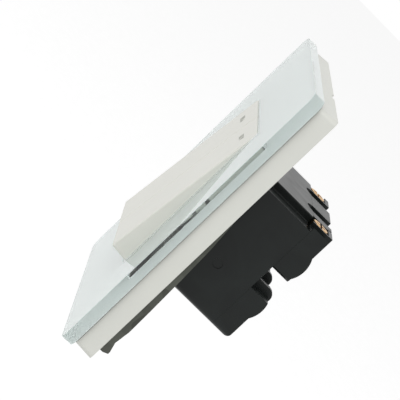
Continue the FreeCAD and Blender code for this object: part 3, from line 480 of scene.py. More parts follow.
def float_glass(finish):
    """Clear float glass, ground and polished: clean to look through, faintly green along its edge."""
    made, tree, place = blank("float_glass")
    smear = add(tree, "ShaderNodeTexNoise", {"Vector": place, "Scale": per_metre(9.0), "Detail": 3.0})
    rough = add(tree, "ShaderNodeMapRange", {"Value": smear.outputs["Fac"], "From Min": 0.35,
                                            "From Max": 0.75, "To Min": 0.0, "To Max": 0.03})
    body = add(tree, "ShaderNodeBsdfPrincipled", {
        "Base Color": (*finish.glass, 1),
        "Roughness": rough.outputs["Result"],
        "IOR": 1.52,
        "Transmission Weight": 1.0,
    })
    green = add(tree, "ShaderNodeVolumeAbsorption", {"Color": (*linear("#DAF7F2"), 1), "Density": 1.2})
    add(tree, "ShaderNodeOutputMaterial", {"Surface": body.outputs["BSDF"],
                                           "Volume": green.outputs["Volume"]})
    return made


def back_enamel(finish):
    """Fired enamel on the glass's back: dense and even, with the slight mottle of a screen print."""
    made, tree, place = blank("back_enamel")
    mottle = add(tree, "ShaderNodeTexNoise", {"Vector": place, "Scale": per_metre(1.6), "Detail": 4.0})
    tone = add(tree, "ShaderNodeValToRGB", {"Fac": mottle.outputs["Fac"]},
               stops=[(0.3, shade(finish.enamel, 0.975)), (0.7, finish.enamel)])
    body = add(tree, "ShaderNodeBsdfPrincipled", {"Base Color": tone.outputs["Color"],
                                                  "Roughness": 0.5, "IOR": 1.5})
    add(tree, "ShaderNodeOutputMaterial", {"Surface": body.outputs["BSDF"]})
    return made


def moulded_abs(name, colour_seen, grain, roughness, bump):
    """ABS from a spark-eroded mould: soft even gloss broken by a fine grain."""
    made, tree, place = blank(name)
    grit = add(tree, "ShaderNodeTexNoise", {"Vector": place, "Scale": per_metre(grain), "Detail": 2.0})
    cloud = add(tree, "ShaderNodeTexNoise", {"Vector": place, "Scale": per_metre(14.0), "Detail": 2.0})
    tone = add(tree, "ShaderNodeValToRGB", {"Fac": cloud.outputs["Fac"]},
               stops=[(0.3, shade(colour_seen, 0.97)), (0.7, colour_seen)])
    rough = add(tree, "ShaderNodeMapRange", {"Value": grit.outputs["Fac"], "From Min": 0.3,
                                            "From Max": 0.7, "To Min": roughness - 0.06,
                                            "To Max": roughness + 0.06})
    relief = add(tree, "ShaderNodeBump", {"Height": grit.outputs["Fac"], "Strength": bump,
                                          "Distance": GRAIN_HEIGHT})
    body = add(tree, "ShaderNodeBsdfPrincipled", {
        "Base Color": tone.outputs["Color"],
        "Roughness": rough.outputs["Result"],
        "IOR": 1.53,
        "Normal": relief.outputs["Normal"],
    })
    add(tree, "ShaderNodeOutputMaterial", {"Surface": body.outputs["BSDF"]})
    return made


def filled_nylon(finish):
    """Black glass-filled nylon: satin, with faint flow marks and a fine grain."""
    made, tree, place = blank("filled_nylon")
    grit = add(tree, "ShaderNodeTexNoise", {"Vector": place, "Scale": per_metre(0.3), "Detail": 3.0})
    flow = add(tree, "ShaderNodeTexNoise", {"Vector": place, "Scale": per_metre(11.0), "Detail": 3.0,
                                            "Distortion": 1.2})
    tone = add(tree, "ShaderNodeValToRGB", {"Fac": flow.outputs["Fac"]},
               stops=[(0.35, shade(finish.housing, 0.8)), (0.65, shade(finish.housing, 1.15))])
    rough = add(tree, "ShaderNodeMapRange", {"Value": flow.outputs["Fac"], "From Min": 0.3,
                                            "From Max": 0.7, "To Min": 0.29, "To Max": 0.37})
    relief = add(tree, "ShaderNodeBump", {"Height": grit.outputs["Fac"], "Strength": 0.35,
                                          "Distance": GRAIN_HEIGHT})
    body = add(tree, "ShaderNodeBsdfPrincipled", {
        "Base Color": tone.outputs["Color"],
        "Roughness": rough.outputs["Result"],
        "IOR": 1.5,
        "Specular IOR Level": 0.22,
        "Normal": relief.outputs["Normal"],
    })
    add(tree, "ShaderNodeOutputMaterial", {"Surface": body.outputs["BSDF"]})
    return made


def galvanised_steel(finish):
    """Hot-dip galvanised sheet: dull zinc with a spangle of crystals a few millimetres across."""
    made, tree, place = blank("galvanised_steel")
    crystal = add(tree, "ShaderNodeTexVoronoi", {"Vector": place, "Scale": per_metre(3.2)})
    grit = add(tree, "ShaderNodeTexNoise", {"Vector": place, "Scale": per_metre(0.5), "Detail": 4.0})
    split = add(tree, "ShaderNodeSeparateColor", {"Color": crystal.outputs["Color"]})
    tone = add(tree, "ShaderNodeValToRGB", {"Fac": split.outputs["Red"]},
               stops=[(0.0, shade(finish.steel, 0.82)), (1.0, shade(finish.steel, 1.15))])
    rough = add(tree, "ShaderNodeMapRange", {"Value": split.outputs["Green"], "To Min": 0.42,
                                            "To Max": 0.58})
    relief = add(tree, "ShaderNodeBump", {"Height": grit.outputs["Fac"], "Strength": 0.3,
                                          "Distance": GRAIN_HEIGHT})
    body = add(tree, "ShaderNodeBsdfPrincipled", {
        "Base Color": tone.outputs["Color"],
        "Metallic": 1.0,
        "Roughness": rough.outputs["Result"],
        "Normal": relief.outputs["Normal"],
    })
    add(tree, "ShaderNodeOutputMaterial", {"Surface": body.outputs["BSDF"]})
    return made


def machined_metal(name, colour_seen, roughness, mark):
    """Turned or stamped metal: fine tool marks and slightly uneven brightness."""
    made, tree, place = blank(name)
    marks = add(tree, "ShaderNodeTexNoise", {"Vector": place, "Scale": per_metre(mark), "Detail": 3.0,
                                             "Distortion": 0.6})
    tone = add(tree, "ShaderNodeValToRGB", {"Fac": marks.outputs["Fac"]},
               stops=[(0.3, shade(colour_seen, 0.82)), (0.7, colour_seen)])
    rough = add(tree, "ShaderNodeMapRange", {"Value": marks.outputs["Fac"], "From Min": 0.3,
                                            "From Max": 0.7, "To Min": roughness - 0.07,
                                            "To Max": roughness + 0.07})
    relief = add(tree, "ShaderNodeBump", {"Height": marks.outputs["Fac"], "Strength": 0.25,
                                          "Distance": GRAIN_HEIGHT})
    body = add(tree, "ShaderNodeBsdfPrincipled", {
        "Base Color": tone.outputs["Color"],
        "Metallic": 1.0,
        "Roughness": rough.outputs["Result"],
        "Normal": relief.outputs["Normal"],
    })
    add(tree, "ShaderNodeOutputMaterial", {"Surface": body.outputs["BSDF"]})
    return made


def print_ink(finish):
    """Pad-printed ink: flat and slightly uneven in cover."""
    made, tree, place = blank("print_ink")
    cover = add(tree, "ShaderNodeTexNoise", {"Vector": place, "Scale": per_metre(0.4), "Detail": 3.0})
    tone = add(tree, "ShaderNodeValToRGB", {"Fac": cover.outputs["Fac"]},
               stops=[(0.3, shade(finish.sign, 0.85)), (0.7, shade(finish.sign, 1.15))])
    body = add(tree, "ShaderNodeBsdfPrincipled", {"Base Color": tone.outputs["Color"],
                                                  "Roughness": 0.6, "IOR": 1.5})
    add(tree, "ShaderNodeOutputMaterial", {"Surface": body.outputs["BSDF"]})
    return made


def material(name):
    """A finish by name, made when it is first asked for."""
    found = bpy.data.materials.get(name)
    if found:
        return found
    finish = bpy.context.scene.switch_finishes
    # Moulded plastics have a grain in millimetres, a roughness and a bump strength,
    # machined metals a roughness and the size of their tool marks
    makers = {
        "float_glass": lambda: float_glass(finish),
        "back_enamel": lambda: back_enamel(finish),
        "adhesive_foam": lambda: moulded_abs("adhesive_foam", linear("#8E908C"), 0.5, 0.8, 0.2),
        "bearing_grey": lambda: moulded_abs("bearing_grey", linear("#CBCBC8"), 0.4, 0.5, 0.1),
        "frame_abs": lambda: moulded_abs("frame_abs", finish.frame, 0.35, 0.42, 0.25),
        "key_abs": lambda: moulded_abs("key_abs", finish.key, 0.3, 0.36, 0.2),
        "acetal": lambda: moulded_abs("acetal", linear("#D8D8D0"), 0.4, 0.34, 0.15),
        "filled_nylon": lambda: filled_nylon(finish),
        "galvanised_steel": lambda: galvanised_steel(finish),
        "turned_brass": lambda: machined_metal("turned_brass", finish.brass, 0.24, 0.5),
        "zinc_plated_steel": lambda: machined_metal("zinc_plated_steel", linear("#B9BBBC"), 0.32, 0.4),
        "contact_silver": lambda: machined_metal("contact_silver", linear("#E3E1DB"), 0.28, 0.3),
        "copper_strip": lambda: machined_metal("copper_strip", linear("#C98A66"), 0.32, 0.6),
        "spring_steel": lambda: machined_metal("spring_steel", linear("#A9ABAD"), 0.26, 0.3),
        "print_ink": lambda: print_ink(finish),
    }
    return makers[name]()


# Pieces

class SHUTTER_OT_glass(bpy.types.Operator):
    """Make the glass panel and the paint behind it"""
    bl_idname = "shutter_switch.glass"
    bl_label = "Glass Panel"

    def execute(self, context):
        panel = context.scene.switch_panel
        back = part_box("glass_film")[0][1]
        front = back - panel.thickness
        lap = panel.paint_lap
        # The glass ends inside the paint, so no film of air comes between the two
        glass = soften(self.sheet(panel, 0, front, back - lap), panel.arris)
        finish_piece("glass_pane", glass, FRAME_BODY, material("float_glass"),
                     ["glass_panel"])
        paint = self.sheet(panel, panel.paint_inset, back - 2 * lap, back + lap)
        finish_piece("glass_paint", paint, FRAME_BODY, material("back_enamel"))
        return {"FINISHED"}

    def sheet(self, panel, inset, front, back):
        """A square sheet with the keys' opening, drawn in by the inset along every edge."""
        half = panel.side / 2 - inset
        slab = prism("Y", centred(half, half, panel.corner), front, back, 8)
        opening = centred(panel.opening_width / 2 + inset, panel.opening_height / 2 + inset,
                          panel.opening_corner)
        return cut(slab, prism("Y", opening, front - PAST, back + PAST))


class SHUTTER_OT_frame(bpy.types.Operator):
    """Make the moulded frame that carries the glass and snaps onto the support plate"""
    bl_idname = "shutter_switch.frame"
    bl_label = "Panel Frame"

    def execute(self, context):
        sizes = context.scene.switch_frame
        low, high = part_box("panel_frame")
        front, half = low[1], high[0]
        web = front + sizes.web
        ribs = [prism("Y", rect(*span(sign, sizes.rib_start, sizes.rib_start + sizes.rib),
                                -sizes.rib_length / 2, sizes.rib_length / 2),
                      web - INTO, web + sizes.rib)
                for sign in (-1, 1)]
        shell = self.shell(context.scene.switch_panel, sizes, front, half, web)
        moulding = soften(join(shell, *self.hooks(sizes, web), *ribs), sizes.softening)
        finish_piece("moulded_frame", moulding, FRAME_BODY, material("frame_abs"),
                     ["panel_frame"])
        return {"FINISHED"}

    def shell(self, panel, sizes, front, half, web):
        """The frame's drafted walls and its web with the keys' opening."""
        shell = prism("Y", centred(half, half, sizes.corner), 0, front, 6)
        taper = (half - abs(front) * math.tan(sizes.draft)) / half
        for vert in shell.verts:
            if vert.co.y < front / 2:
                vert.co.x *= taper
                vert.co.z *= taper
        inner = half - sizes.wall
        opening = centred(panel.opening_width / 2 + sizes.clearance,
                          panel.opening_height / 2 + sizes.clearance, panel.opening_corner)
        notch = rect(sizes.notch_start, sizes.notch_start + sizes.notch_width,
                     inner - PAST, half + PAST)
        return cut(shell, prism("Y", centred(inner, inner, sizes.inner_corner), web, PAST),
                   prism("Y", opening, front - PAST, web + INTO),
                   prism("Y", notch, -sizes.notch_depth, PAST))

    def hooks(self, sizes, web):
        """Four hooks through the support plate, each with a nose behind it."""
        inner, outer, nose, lead = 36.4 * MM, 37.6 * MM, 38.2 * MM, 37.9 * MM
        catch, slope, tip = 0.1 * MM, 0.6 * MM, 0.9 * MM
        profile = [(web - INTO, inner), (tip, inner), (tip, lead), (slope, nose), (catch, nose),
                   (catch, outer), (web - INTO, outer)]
        return [prism("X", [(y, height * z) for y, height in profile],
                      *span(x, sizes.hook_start, sizes.hook_start + sizes.hook_width))
                for x in (-1, 1) for z in (-1, 1)]


def rest_pose(solid, keys):
    """Moves a solid from the hinge axis to the keys' rest position."""
    place = Matrix.Translation((0, -keys.hinge, 0)) @ Matrix.Rotation(-keys.tilt, 4, "X")
    bmesh.ops.transform(solid, matrix=place, verts=solid.verts)
    return solid


class SHUTTER_OT_keys(bpy.types.Operator):
    """Make the two key caps with their skirts and rocker clips"""
    bl_idname = "shutter_switch.keys"
    bl_label = "Key Caps"

    def execute(self, context):
        keys = context.scene.switch_keys
        half = keys.height / 2
        face = -keys.rise
        roof = face + keys.roof
        skirt = face + keys.depth
        for sign, gang in GANGS:
            left, right = span(sign, keys.gap, keys.gap + keys.width)
            cap = prism("Y", rect(left, right, -half, half, keys.corner), face, skirt, 6)
            face_edges = [edge for edge in cap.edges
                          if all(vert.co.y < face + SAME_PLACE for vert in edge.verts)]
            bmesh.ops.bevel(cap, geom=face_edges, offset=keys.edge, offset_type="OFFSET", segments=4,
                            profile=0.5, affect="EDGES", material=-1)
            hollow = prism("Y", rect(left + keys.wall, right - keys.wall, -half + keys.wall,
                                     half - keys.wall, keys.inner_corner), roof, skirt + PAST)
            cap = cut(cap, hollow, *self.notches(keys, sign, skirt))
            cap = soften(join(cap, *self.clips(keys, sign, roof)), keys.softening,
                         sharper_than=math.radians(50))
            finish_piece(f"key_{gang}_shell", rest_pose(cap, keys), f"key_{gang}", material("key_abs"),
                         [f"key_{gang}_cap"])
        return {"FINISHED"}

    def notches(self, keys, sign, skirt):
        """Tools that cut two small notches into the skirt's outer side."""
        outer = keys.gap + keys.width
        half = keys.notch_width / 2
        return [prism("Y", rect(*span(sign, outer - keys.wall, outer + PAST), up - half, up + half),
                      skirt - keys.notch_depth, skirt + PAST)
                for up in (-0.3 * MM, 4.1 * MM)]

    def clips(self, keys, sign, roof):
        """Two clips under the roof that hold the rocker."""
        nose, lead, inner, outer = 9.7 * MM, 10.2 * MM, 10.3 * MM, 11.3 * MM
        catch, slope, tip = roof + 1.55 * MM, roof + 1.85 * MM, roof + 2.15 * MM
        profile = [(roof - INTO, inner), (catch, inner), (catch, nose), (slope, nose), (tip, lead),
                   (tip, outer), (roof - INTO, outer)]
        return [prism("X", [(y, height * end) for y, height in profile],
                      *span(sign, keys.clip_start, keys.clip_start + keys.clip_width))
                for end in (-1, 1)]


class SHUTTER_OT_signs(bpy.types.Operator):
    """Print a small shutter with an arrow on each key: up on the left, down on the right"""
    bl_idname = "shutter_switch.signs"
    bl_label = "Printed Signs"

    def execute(self, context):
        keys = context.scene.switch_keys
        for sign, gang in GANGS:
            middle = sign * (keys.sign_up if gang == "up" else keys.sign_down)
            ink = bmesh.new()
            for corners in self.outlines(keys, middle, gang == "up"):
                gather(ink, prism("Y", corners, -keys.rise - keys.ink, -keys.rise + keys.ink))
            finish_piece(f"key_{gang}_sign", rest_pose(ink, keys), f"key_{gang}",
                         material("print_ink"))
        return {"FINISHED"}

    def outlines(self, keys, middle, upward):
        """Four slats of a shutter with an arrow beside them."""
        tall = keys.sign_height
        slat, pitch = tall * 0.17, tall / 3.6
        left, right = middle - keys.sign_width / 2, middle + keys.sign_width / 2
        shapes = []
        for row in range(4):
            low = keys.sign_level - tall / 2 + row * pitch
            shapes.append(rect(left, left + keys.slat_width, low, low + slat))
        point = tall / 2 if upward else -tall / 2
        shapes.append([
            (right - keys.arrow_width, keys.sign_level - point),
            (right, keys.sign_level - point),
            (right - keys.arrow_width / 2, keys.sign_level + point),
        ])
        return shapes


class SHUTTER_OT_plate(bpy.types.Operator):
    """Make the pressed support plate with its bent lips"""
    bl_idname = "shutter_switch.plate"
    bl_label = "Support Plate"

    def execute(self, context):
        sizes = context.scene.switch_plate
        low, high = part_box("support_plate")
        half_x, half_z, thick = high[0], high[2], -low[1]
        plate = prism("Y", centred(half_x, half_z, sizes.corner), -thick, 0)
        opening = centred(sizes.opening_width / 2, sizes.opening_height / 2, sizes.opening_corner)
        through = (-thick - PAST, PAST)
        holes = [prism("Y", opening, *through)]
        half_slot = sizes.slot_width / 2
        # A hair less than half the width, so that a slot end's two roundings don't meet
        slot_round = half_slot - SAME_PLACE
        for z in (-1, 1):
            ends = span(z, sizes.slot_start, sizes.slot_start + sizes.slot_length)
            holes.append(prism("Y", rect(-half_slot, half_slot, *ends, slot_round), *through, 8))
            for x in (-1, 1):
                across = span(x, sizes.window_start, sizes.window_start + sizes.window_width)
                up = span(z, sizes.window_level, sizes.window_level + sizes.window_height)
                holes.append(prism("Y", rect(*across, *up), *through))
        plate = join(cut(plate, *holes), *self.lips(half_x, thick))
        plate = soften(plate, sizes.softening)
        finish_piece("pressed_plate", plate, FRAME_BODY, material("galvanised_steel"),
                     ["support_plate"])
        return {"FINISHED"}

    def lips(self, half_x, thick):
        """The lips along both sides, turned half round to each other."""
        # Depth behind the wall face and height of the outline, in millimetres
        profile = [(-0.6, 39.5), (1.6, 39.5), (2.9, 38.9), (2.9, 38.2), (2.15, 35.6), (2.49, 32.5),
                   (2.63, 31.2), (2.47, 23.5), (2.13, 13.2), (1.63, 2.2), (0.57, -9.2), (-0.02, -12),
                   (-0.6, -12)]
        return [prism("X", [(y * MM, z * -sign * MM) for y, z in profile],
                      *span(sign, half_x - thick, half_x))
                for sign in (-1, 1)]


class SHUTTER_OT_housing(bpy.types.Operator):
    """Make the contact housing"""
    bl_idname = "shutter_switch.housing"
    bl_label = "Contact Housing"

    def execute(self, context):
        sizes = context.scene.switch_housing
        half_x, back, half_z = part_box("housing_body")[1]
        tub = prism("Y", self.outline(sizes, half_x, half_z), 0, back, 6)
        cavity = prism("Y", centred(sizes.cavity_width / 2, sizes.cavity_height / 2,
                                    sizes.cavity_corner), -PAST, sizes.cavity_depth)
        slots = [rod("Z", (middle, back - sizes.slot_depth + sizes.slot / 2), sizes.slot / 2,
                     half_z - sizes.slot_reach, half_z + PAST)
                 for middle in SLOTS]
        mark_place = (7.1 * MM, -5.5 * MM)
        marks = [rod("X", mark_place, sizes.mark,
                     *span(sign, half_x - sizes.mark_depth, half_x + PAST))
                 for sign in (-1, 1)]
        tub = cut(tub, cavity, *slots, *marks)
        tub = soften(join(tub, *self.bosses(sizes)), sizes.softening)
        finish_piece("contact_housing", tub, FRAME_BODY, material("filled_nylon"),
                     ["housing_body"])
        return {"FINISHED"}

    def outline(self, sizes, half_x, half_z):
        """The housing seen from behind, with the steps beside its upper end's raised face."""
        step = half_z - sizes.step
        floor = step - sizes.trench
        end = sizes.end_flat / 2
        return [
            (half_x, -half_z, sizes.corner),
            (half_x, step),
            (half_x - sizes.side_wall, floor),
            (end, floor, sizes.end_corner),
            (end, half_z, sizes.end_corner),
            (-end, half_z, sizes.end_corner),
            (-end, floor, sizes.end_corner),
            (-half_x, floor),
            (-half_x, -half_z, sizes.corner),
        ]

    def bosses(self, sizes):
        """Four screw bosses and two ribs behind the guide plate, rooted in the chamber's floor."""
        boss_x, boss_z = 22.2 * MM, 11.8 * MM
        root = sizes.cavity_depth + INTO
        wall = sizes.cavity_width / 2
        made = []
        for x in (-1, 1):
            made += [rod("Y", (boss_x * x, boss_z * z), sizes.boss, sizes.boss_front, root)
                     for z in (-1, 1)]
            made.append(prism("Y", rect(*span(x, wall - sizes.rib_thickness, wall + 2 * INTO),
                                        -sizes.rib_length / 2, sizes.rib_length / 2),
                              sizes.rib_front, root))
        return made


class SHUTTER_OT_blocks(bpy.types.Operator):
    """Make the two terminal blocks on the housing's back"""
    bl_idname = "shutter_switch.blocks"
    bl_label = "Terminal Blocks"

    def execute(self, context):
        housing, sizes = context.scene.switch_housing, context.scene.switch_blocks
        half_x, front, half_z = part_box("housing_body")[1]
        back = front + BLOCK_DEPTH
        for end, label in ((1, "upper"), (-1, "lower")):
            far = half_z * end
            if end > 0:
                near = sizes.channel_top
                block = prism("Y", self.chamfered(sizes, half_x, near, far), front, back)
                ridges = []
            else:
                near = -sizes.channel_foot
                block = prism("X", [(front, near), (back, near), (back, far, sizes.rounding),
                                    (front, far)], -half_x, half_x, 8)
                block = cut(block, *self.round_edges(housing.corner, half_x, far, front, back))
                ridges = self.ridges(sizes, half_x, near, front, back)
            block = join(block, *ridges, *self.humps(sizes, half_x, near, back, end),
                         *self.pads(housing, sizes, near, far, back),
                         *self.rims(sizes, half_z, back, end))
            tools = self.terminal_openings(sizes, half_z, front, back, end)
            if end > 0:
                tools += self.end_openings(housing, sizes, half_x, half_z, front, back)
            block = soften(cut(block, *tools), housing.softening)
            finish_piece(f"terminals_{label}", block, FRAME_BODY, material("filled_nylon"),
                         [f"terminal_block_{label}"])
        return {"FINISHED"}

    def chamfered(self, sizes, half_x, near, far):
        """The upper block seen from behind, its lower edges chamfered at the sides."""
        return [(sizes.chamfer - half_x, near), (half_x - sizes.chamfer, near),
                (half_x, near + sizes.chamfer), (half_x, far), (-half_x, far),
                (-half_x, near + sizes.chamfer)]

    def round_edges(self, radius, half_x, far, front, back):
        """Tools that round the lower block's side edges like the housing's."""
        centre = half_x - radius
        tools = []
        for sign in (-1, 1):
            square = prism("Y", rect(*span(sign, centre, half_x + PAST), far - PAST, far + radius),
                           front - PAST, back + PAST)
            tools.append(cut(square, rod("Y", (centre * sign, far + radius), radius,
                                         front - 2 * PAST, back + 2 * PAST, segments=48)))
        return tools

    def ridges(self, sizes, half_x, near, front, back):
        """Ridges of the lower block that stand in the channel, with a round rear end."""
        top, end = near + sizes.ridge_rise, back + sizes.ridge_back
        lip, foot = near - 0.6 * MM, near - 1.7 * MM
        profile = [(front, near - PAST), (front, top), (end, top, sizes.ridge_round), (end, lip),
                   (back - PAST, foot)]
        outer = half_x - sizes.ridge_inset
        return [prism("X", profile, *span(sign, side - sizes.ridge, side), 8)
                for side in (outer, outer - sizes.ridge_step) for sign in (-1, 1)]

    def humps(self, sizes, half_x, near, back, end):
        """Round humps outside the pads that end at the channel's edge."""
        middle = sizes.hump_upper if end > 0 else -sizes.hump_lower
        sunk = back - 0.3 * MM
        channel = span(end, near * end - sizes.hump, near * end)
        made = []
        for sign in (-1, 1):
            ends = span(sign, PAD_END, half_x)
            wide = (ends[0] - PAST, ends[1] + PAST)
            hump = rod("X", (back + sizes.hump_rise - sizes.hump, middle), sizes.hump, *ends,
                       segments=96)
            below = rect(-PAST, sunk, middle - 2 * sizes.hump, middle + 2 * sizes.hump)
            beside = rect(back - PAST, back + sizes.hump_rise + PAST, *channel)
            made.append(cut(hump, prism("X", below, *wide), prism("X", beside, *wide)))
        return made

    def pads(self, housing, sizes, near, far, back):
        """Flat pads on a block's back, between and beside the open slots."""
        edges = [-PAD_END]
        for middle in SLOTS:
            edges += [middle - housing.slot / 2, middle + housing.slot / 2]
        edges.append(PAD_END)
        return [prism("Y", rect(left, right, near, far), back - 5 * INTO, back + sizes.pad)
                for left, right in zip(edges[::2], edges[1::2])]

    def rims(self, sizes, half_z, back, end):
        """Walls round the screw pockets, as high as the pads."""
        half = sizes.pocket / 2 + sizes.rim
        return [prism("Y", rect(x - half, x + half, *span(end, half_z - sizes.pocket_depth, half_z)),
                      back - PAST, back + sizes.pad)
                for x, which in TERMINALS if which == end]

    def terminal_openings(self, sizes, half_z, front, back, end):
        """Tools for each terminal's clamp seat, screw pocket and wire entry."""
        half_seat, half_pocket = sizes.seat_width / 2, sizes.pocket / 2
        seat = span(end, sizes.seat_start, sizes.seat_start + sizes.seat_length)
        pocket = span(end, half_z - sizes.pocket_depth, half_z + PAST)
        seat_floor = back - 0.5 * MM
        tools = []
        for x in (place for place, which in TERMINALS if which == end):
            tools.append(prism("Y", rect(x - half_seat, x + half_seat, *seat), front - PAST, seat_floor))
            tools.append(prism("Y", rect(x - half_pocket, x + half_pocket, *pocket), front - PAST,
                               SCREW_LEVEL + half_pocket))
            tools.append(rod("Y", (x, WIRE_LEVEL * end), sizes.wire_entry, seat_floor - 2 * INTO,
                             back + 3 * PAST))
        return tools

    def end_openings(self, housing, sizes, half_x, half_z, front, back):
        """Tools for the upper end: two open slots, the left step and the right recess."""
        half_slot, half_pocket = housing.slot / 2, sizes.pocket / 2
        top = half_z + PAST
        tools = [prism("Y", rect(middle - half_slot, middle + half_slot,
                                 half_z - housing.slot_reach, top),
                       front - PAST, back + 3 * PAST)
                 for middle in SLOTS]
        step = half_z - housing.step
        tools.append(prism("Y", rect(-half_x - PAST, TERMINALS[0][0] - half_pocket,
                                     step - housing.trench, top), front - PAST, back))
        start = TERMINALS[1][0] + half_pocket + sizes.recess_wall
        # The recess slopes outward through the block's upper right edge
        past_edge = half_z + housing.step
        tools.append(prism("Y", [(start, step), (half_x - housing.side_wall, step),
                                 (half_x + housing.side_wall, past_edge), (start, past_edge)],
                           front - PAST, SCREW_LEVEL + half_pocket))
        return tools


class SHUTTER_OT_terminals(bpy.types.Operator):
    """Turn the brass clamping screws and chamfer their clamp blocks"""
    bl_idname = "shutter_switch.terminals"
    bl_label = "Terminal Screws and Clamps"

    def execute(self, context):
        sizes = context.scene.switch_terminals
        screws = bmesh.new()
        clamps = bmesh.new()
        for x, end in TERMINALS:
            turn = Matrix.Identity(4) if end > 0 else Matrix.Rotation(math.pi, 4, "X")
            screw = self.screw(sizes)
            bmesh.ops.transform(screw, matrix=Matrix.Translation((x, SCREW_LEVEL, 0)) @ turn,
                                verts=screw.verts)
            gather(screws, screw)
            gather(clamps, soften(self.clamp(sizes, x, end), sizes.softening))
        finish_piece("clamping_screws", screws, FRAME_BODY, material("turned_brass"),
                     ["terminal_screws"])
        finish_piece("wire_clamps", clamps, FRAME_BODY, material("turned_brass"),
                     ["terminal_pillars"])
        return {"FINISHED"}

    def screw(self, sizes):
        """A turned screw on the Z axis, as far from the origin as its end of the switch."""
        bevel, crest = 0.2 * MM, 0.3 * MM
        foot, top = sizes.screw_foot, sizes.screw_top
        under_head = top - sizes.head_height
        profile = [(0, foot), (sizes.shank - bevel, foot), (sizes.shank, foot + bevel)]
        for turn in range(5):
            rise = foot + crest + turn * sizes.pitch
            profile += [(sizes.shank, rise), (sizes.root, rise + bevel), (sizes.shank, rise + 2 * bevel)]
        # The head is rounded a little, more on top than underneath
        edge, low_edge, high_edge, crown = 0.15 * MM, 0.12 * MM, 0.3 * MM, 0.08 * MM
        profile += [(sizes.shank, under_head), (sizes.head - edge, under_head),
                    (sizes.head, under_head + low_edge), (sizes.head, top - high_edge),
                    (sizes.head - edge, top - crown), (1.8 * MM, top), (0, top)]
        screw = bmesh.new()
        verts = [screw.verts.new((radius, 0, height)) for radius, height in profile]
        edges = [screw.edges.new(pair) for pair in zip(verts, verts[1:])]
        bmesh.ops.spin(screw, geom=verts + edges, cent=(0, 0, 0), axis=(0, 0, 1),
                       angle=math.tau, steps=40, use_merge=True)
        bmesh.ops.remove_doubles(screw, verts=screw.verts, dist=SAME_PLACE)
        bmesh.ops.recalc_face_normals(screw, faces=screw.faces)
        half = sizes.slot / 2
        long_slot = prism("Z", centred(sizes.head + INTO, half), top - 0.7 * MM, top + PAST)
        cross_slot = prism("Z", centred(half, 1.5 * MM), top - 0.6 * MM, top + PAST)
        return cut(screw, long_slot, cross_slot)

    def clamp(self, sizes, x, end):
        """A clamp block with a hole for the wire and one for its screw."""
        half, half_depth = sizes.clamp_width / 2, sizes.clamp_depth / 2
        block = prism("Z", rect(x - half, x + half, SCREW_LEVEL - half_depth, SCREW_LEVEL + half_depth,
                                sizes.clamp_corner),
                      *span(end, sizes.clamp_start, sizes.clamp_start + sizes.clamp_length))
        wire_hole = rod("Y", (x, WIRE_LEVEL * end), sizes.wire_hole, SCREW_LEVEL - half_depth - PAST,
                        SCREW_LEVEL + half_depth + PAST)
        screw_hole = rod("Z", (x, SCREW_LEVEL), sizes.tapped_hole,
                         *span(end, WIRE_LEVEL, WIRE_LEVEL + 4 * MM))
        return cut(block, wire_hole, screw_hole)


# The finish of each CAD node that stays in the scene
NODE_FINISHES = {
    "glass_film": "adhesive_foam",
    "module_cover": "bearing_grey",
    "guide_plate": "filled_nylon",
    "line_bar": "turned_brass",
    "output_bar_up": "turned_brass",
    "output_bar_down": "turned_brass",
    "fixed_contacts": "contact_silver",
    "block_screws": "zinc_plated_steel",
    "cover_screws": "zinc_plated_steel",
    "rocker_up": "acetal",
    "rocker_down": "acetal",
    "plunger_up": "acetal",
    "plunger_down": "acetal",
    "contact_bridge_up": "copper_strip",
    "contact_bridge_down": "copper_strip",
    "bridge_contacts_up": "contact_silver",
    "bridge_contacts_down": "contact_silver",
    "return_spring_up": "spring_steel",
    "return_spring_down": "spring_steel",
}


class SHUTTER_OT_inner_parts(bpy.types.Operator):
    """Give the inner CAD parts their finishes"""
    bl_idname = "shutter_switch.inner_parts"
    bl_label = "Inner Parts"

    def execute(self, context):
        for name, finish in NODE_FINISHES.items():
            node = frame["nodes"][name]
            node.data.materials.clear()
            node.data.materials.append(material(finish))
        return {"FINISHED"}


